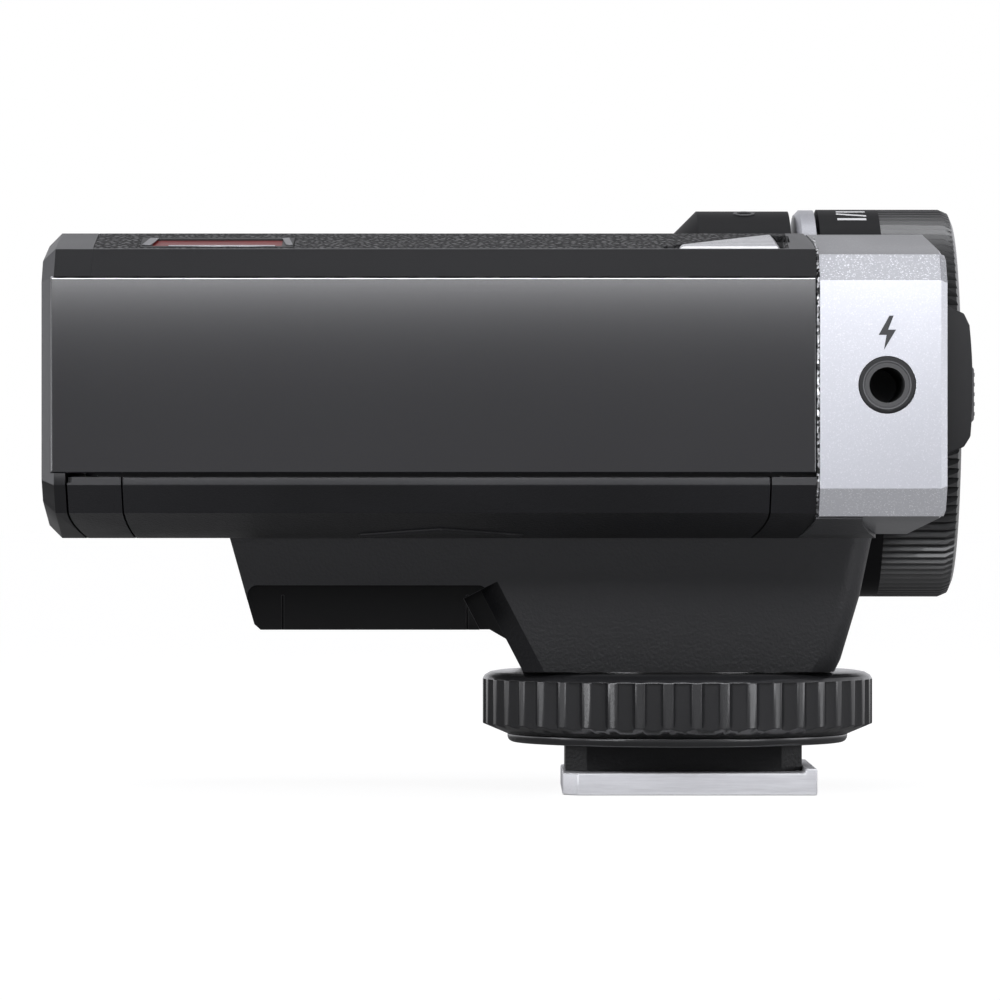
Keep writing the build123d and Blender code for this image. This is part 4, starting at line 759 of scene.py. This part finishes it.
# the sync symbol over the jack, dark on the silver side
BOLT = [(0.16, 1.3), (-0.66, -0.16), (-0.06, -0.16), (-0.26, -1.3), (0.66, 0.24), (0.06, 0.24), (0.48, 1.3)]
jack_low, jack_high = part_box("jack_collar")
side_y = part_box("rear_bezel")[0].y
bolt = flat_shape("sync_symbol", BOLT)
above = Vector(((jack_low.x + jack_high.x) / 2, side_y - 0.3 * INK, jack_high.z + 1.75 * MM))
settle(bolt, Matrix.Translation(above) @ Matrix.Rotation(pi / 2, 4, "X"))
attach(bolt, "body")
paint(dark_ink, bolt)

# on and off marks over and under the power switch, and a small bolt by the ready lamp
def circle_outline(radius, count=40):
    return [(radius * cos(2 * pi * i / count), radius * sin(2 * pi * i / count)) for i in range(count)]


rear_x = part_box("rear_panel")[1].x + 0.3 * INK
hood_low, hood_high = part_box("switch_surround")
light_low, light_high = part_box("ready_lamp")
switch_y, light_y = (hood_low.y + hood_high.y) / 2, (light_low.y + light_high.y) / 2
ON_BAR = [(-0.14, -0.7), (0.14, -0.7), (0.14, 0.7), (-0.14, 0.7)]
SMALL_BOLT = [(0.75 * x, 0.75 * y) for x, y in BOLT]
marks = (
    (flat_shape("on_mark", ON_BAR), switch_y, hood_high.z + 1.5 * MM),
    (flat_shape("off_mark", circle_outline(0.7), circle_outline(0.45)), switch_y, hood_low.z - 1.5 * MM),
    (flat_shape("ready_mark", SMALL_BOLT), light_y - 3.2 * MM, (light_low.z + light_high.z) / 2),
)
for mark, y, z in marks:
    turned = Matrix.Rotation(pi / 2, 4, "Z") @ Matrix.Rotation(pi / 2, 4, "X")
    settle(mark, Matrix.Translation((rear_x, y, z)) @ turned)
rear_marks = join("rear_marks", [mark for mark, y, z in marks])
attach(rear_marks, "body")
paint(white_ink, rear_marks)

# ---------------------------------------------------------------- small fittings
def block(name, x, y, z, rounding=0.05):
    """A box between these limits in millimetres, with rounded edges."""
    bpy.ops.mesh.primitive_cube_add(size=1.0)
    piece = bpy.context.active_object
    piece.name = piece.data.name = name
    spans = [(low * MM, high * MM) for low, high in (x, y, z)]
    middles = [(low + high) / 2 for low, high in spans]
    sizes = [high - low for low, high in spans]
    settle(piece, Matrix.Translation(middles) @ Matrix.Diagonal((*sizes, 1.0)))
    apply_modifier(piece, "BEVEL", width=rounding * MM, segments=2)
    smooth(piece)
    return piece


def fitting(piece, body, finish):
    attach(piece, body)
    paint(finish, piece)


# metal tabs at the ends of the red window and a bright lip under it, on the deck's slope
LEFT_TAB = [(-41.65, 1.5), (-40.95, 1.5), (-40.5, 4.7), (-41.15, 4.9)]
RIGHT_TAB = [(-30.65, 1.5), (-30.15, 1.5), (-30.55, 4.9), (-31.05, 4.7)]
LIP = [(-39.6, 0.85), (-31.5, 0.85), (-31.5, 1.25), (-39.6, 1.25)]
SLOPE_Y, SLOPE_Z, SLOPE = -33.0, 42.6, radians(11.3)
on_slope = Matrix.Translation((0, SLOPE_Y * MM, SLOPE_Z * MM)) @ Matrix.Rotation(SLOPE, 4, "X")
on_slope @= Matrix.Translation((0, 0, 0.08 * MM))
for name, finish, outlines in (
    ("window_tabs", dull_metal, (LEFT_TAB, RIGHT_TAB)),
    ("window_lip", bright_metal, (LIP,)),
):
    clip = flat_shape(name, *outlines, thickness=0.06 * MM)
    settle(clip, on_slope)
    fitting(clip, "body", finish)

# a flecked strip fills the seam between the black body and the silver block
def seam_outline(inset):
    half = [(35.0, 24.67), (35.0, 40.45), (33.0, 42.6), (25.5, 44.0)]
    low = [(25.5, 20.9), (33.0, 22.55)]
    right = [(y - inset, z) for y, z in low + half[:3]] + [(25.5, 44.0 - inset)]
    return right + [(-y, z) for y, z in reversed(right)]


seam = flat_shape("seam_strip", seam_outline(0.06), seam_outline(0.9), thickness=0.2 * MM)
SEAM_X = 9.72
turned = Matrix.Rotation(pi / 2, 4, "Z") @ Matrix.Rotation(pi / 2, 4, "X")
settle(seam, Matrix.Translation((SEAM_X * MM, 0, 0)) @ turned)
fitting(seam, "body", silver_seam)

# ridges on the switch's knob
knob_low, knob_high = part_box("power_slider")
knob_x = (knob_high.x / MM - 0.2, knob_high.x / MM + 0.06)
knob_y = ((hood_low.y + hood_high.y) / 2 / MM - 1.0, (hood_low.y + hood_high.y) / 2 / MM + 1.0)
knob_z = (knob_low.z + knob_high.z) / 2 / MM
ridges = []
for i in range(-2, 3):
    z = knob_z + 0.75 * i
    ridges.append(block(f"ridge_{i}", knob_x, knob_y, (z - 0.16, z + 0.16)))
fitting(join("knob_ridges", ridges), nodes["power_slider"]["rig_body"], knob_grey)

# a bright ring round the ready lamp
bpy.ops.mesh.primitive_torus_add(
    location=(rear_x, light_y, (light_low.z + light_high.z) / 2),
    rotation=(0, pi / 2, 0),
    major_radius=1.5 * MM,
    minor_radius=0.16 * MM,
    major_segments=40,
    minor_segments=10,
)
lamp_ring = bpy.context.active_object
lamp_ring.name = lamp_ring.data.name = "lamp_ring"
settle(lamp_ring, lamp_ring.matrix_world.copy())
smooth(lamp_ring, 60)
fitting(lamp_ring, "body", bright_metal)

# cross recesses in the screws' heads
CROSS_ARM = 0.16


def crossed(node, name, spots, head_low, length):
    """A copy of a screw node with a cross cut up into each head, standing in for the node."""
    piece = merged_copy(node, name)
    a, b = CROSS_ARM, length
    cross = [(a, a), (a, b), (-a, b), (-a, a), (-b, a), (-b, -a)]
    cross += [(-x, -y) for x, y in cross]
    cutters = []
    for i, (x, y) in enumerate(spots):
        cutter = flat_shape(f"cutter_{i}", cross, thickness=1.0 * MM)
        turn = Matrix.Rotation(radians(25 + 37 * i), 4, "Z")
        settle(cutter, Matrix.Translation((x * MM, y * MM, head_low * MM)) @ turn)
        cutters.append(cutter)
    cutter = join("cutter", cutters)
    apply_modifier(piece, "BOOLEAN", object=cutter, operation="DIFFERENCE", solver="EXACT")
    bpy.data.objects.remove(cutter)
    smooth(piece, 30)
    stand_in(piece, node)
    paint(spring_steel, piece)


SHELL_SCREWS = [(-40.4, 27.0), (-13.5, 27.0), (4.0, 27.0)]
FOOT_SCREWS = [(-5.4, -3.6), (-5.4, 3.6), (6.2, -3.6), (6.2, 3.6)]
crossed("shell_screws", "case_screws", SHELL_SCREWS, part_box("shell_screws")[0].z / MM, 1.1)
crossed("foot_screws", "plate_screws", FOOT_SCREWS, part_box("foot_screws")[0].z / MM, 0.8)

# ---------------------------------------------------------------- studio
def lamp(name, place, aim, width, height, brightness):
    """A soft rectangular lamp of this size and brightness, aimed at a point."""
    bpy.ops.object.light_add(type="AREA", location=place)
    light = bpy.context.active_object
    light.name = name
    light.data.shape = "RECTANGLE"
    light.data.size, light.data.size_y = width, height
    light.data.energy = brightness * pi * width * height
    light.data.color = (0.96, 0.97, 1.0)
    light.rotation_euler = (Vector(aim) - Vector(place)).to_track_quat("-Z", "Y").to_euler()
    light.visible_camera = False


middle = (Vector(cad_box[0]) + Vector(cad_box[1])) / 2
near_face = Vector((middle.x, cad_box[0][1], middle.z))
lamp("near_softbox", near_face + Vector((0, -0.078, 0.034)), near_face, 0.2, 0.03, 6.2)
lamp("overhead_strip", near_face + Vector((0, 0.03, 0.26)), near_face + Vector((0, 0.01, 0)), 0.2, 0.06, 2.9)
lamp("left_edge", middle + Vector((-0.35, -0.02, 0.02)), middle, 0.12, 0.12, 1.8)
lamp("right_edge", middle + Vector((0.35, -0.02, 0.0)), middle, 0.12, 0.12, 2.5)
lamp("left_fill", middle + Vector((-0.3, -0.27, -0.01)), middle, 0.18, 0.04, 6.0)
lamp("right_fill", middle + Vector((0.3, -0.27, -0.01)), middle, 0.18, 0.04, 6.0)
lamp("back_strip", middle + Vector((0, 0.17, 0.25)), middle, 0.3, 0.07, 2.4)


# The camera sees white. Reflections see a room that is bright low down, dimmer behind the camera
# and dark overhead, and everything is lit evenly by the rest of it.
world = bpy.data.worlds.new("studio")
bpy.context.scene.world = world
world.use_nodes = True
w = Wiring(world.node_tree)
sky = world.node_tree.nodes["Background"]
ROOM_LIGHT, FRONT_DIM, COOL = 0.42, 0.22, 0.96
way = w.add("SeparateXYZ", w.add("TexCoord").outputs["Generated"]).outputs
ramp = w.add("ValToRGB", way[2])
stops = ramp.color_ramp.elements
stops[0].position, stops[0].color = 0.08, (1.0, 1.0, 1.0, 1.0)
stops[1].position, stops[1].color = 0.8, (0.1, 0.1, 0.1, 1.0)
middle_stop = stops.new(0.38)
middle_stop.color = (0.58, 0.58, 0.58, 1.0)
front = w.add("MapRange", way[1], -0.6, 0.2, FRONT_DIM, 1.0).outputs[0]
path = w.add("LightPath").outputs
camera_ray = path["Is Camera Ray"]
mirror_ray = w.math("MAXIMUM", path["Is Glossy Ray"], path["Is Transmission Ray"])
seen = w.math("MAXIMUM", camera_ray, mirror_ray)
mirrored = w.math("MULTIPLY", w.math("MULTIPLY", ramp.outputs["Color"], front), seen)
tone = w.math("ADD", mirrored, w.math("MULTIPLY_ADD", seen, -ROOM_LIGHT, ROOM_LIGHT))
warm_part = w.math("MAXIMUM", w.math("MULTIPLY", tone, COOL), camera_ray)
cool_part = w.math("MAXIMUM", tone, camera_ray)
w.put(sky.inputs["Color"], w.add("CombineColor", warm_part, warm_part, cool_part).outputs[0])

bpy.ops.mesh.primitive_plane_add(size=8.0, location=(0, 0, cad_box[0][2] - 0.02 * MM))
floor = bpy.context.active_object
floor.name = "studio_floor"
floor_white = Finish("floor_white", Roughness=0.9, Specular_IOR_Level=0.1)
mottle = floor_white.use(grain_group, Size=2.0, Drift=60.0)
floor_white.tint((0.2, 0.2, 0.2), (0.21, 0.21, 0.21), mottle["Tone"])
camera_ray = floor_white.add("LightPath").outputs["Is Camera Ray"]
floor_white.set(Emission_Color=(1.0, 1.0, 1.0))
# The camera sees the floor white; all else sees its glow dim near the foot and brighter further out, a
# painted shadow round the object
FLOOR_NEAR, FLOOR_FAR, FLOOR_SEEN = 0.04, 0.45, 0.9
reach = floor_white.add("VectorMath", floor_white.place(), operation="LENGTH").outputs["Value"]
floor_glow_painted_shade = floor_white.add("MapRange", reach, 0.03, 0.25, FLOOR_NEAR, FLOOR_FAR).outputs[0]
shine = floor_white.math("MAXIMUM", floor_glow_painted_shade, floor_white.math("MULTIPLY", camera_ray, FLOOR_SEEN))
floor_white.put(floor_white.shader.inputs["Emission Strength"], shine)
paint(floor_white.material, floor)

# ---------------------------------------------------------------- camera
bpy.ops.object.camera_add(location=(-14.37 * MM, -520 * MM, 23.54 * MM), rotation=(pi / 2, 0, 0))
camera = bpy.context.active_object
camera.data.lens, camera.data.sensor_width = 230.8, 36.0
camera.data.clip_start, camera.data.clip_end = 0.05, 20.0
bpy.context.scene.camera = camera
bpy.context.scene.view_settings.view_transform = "Standard"
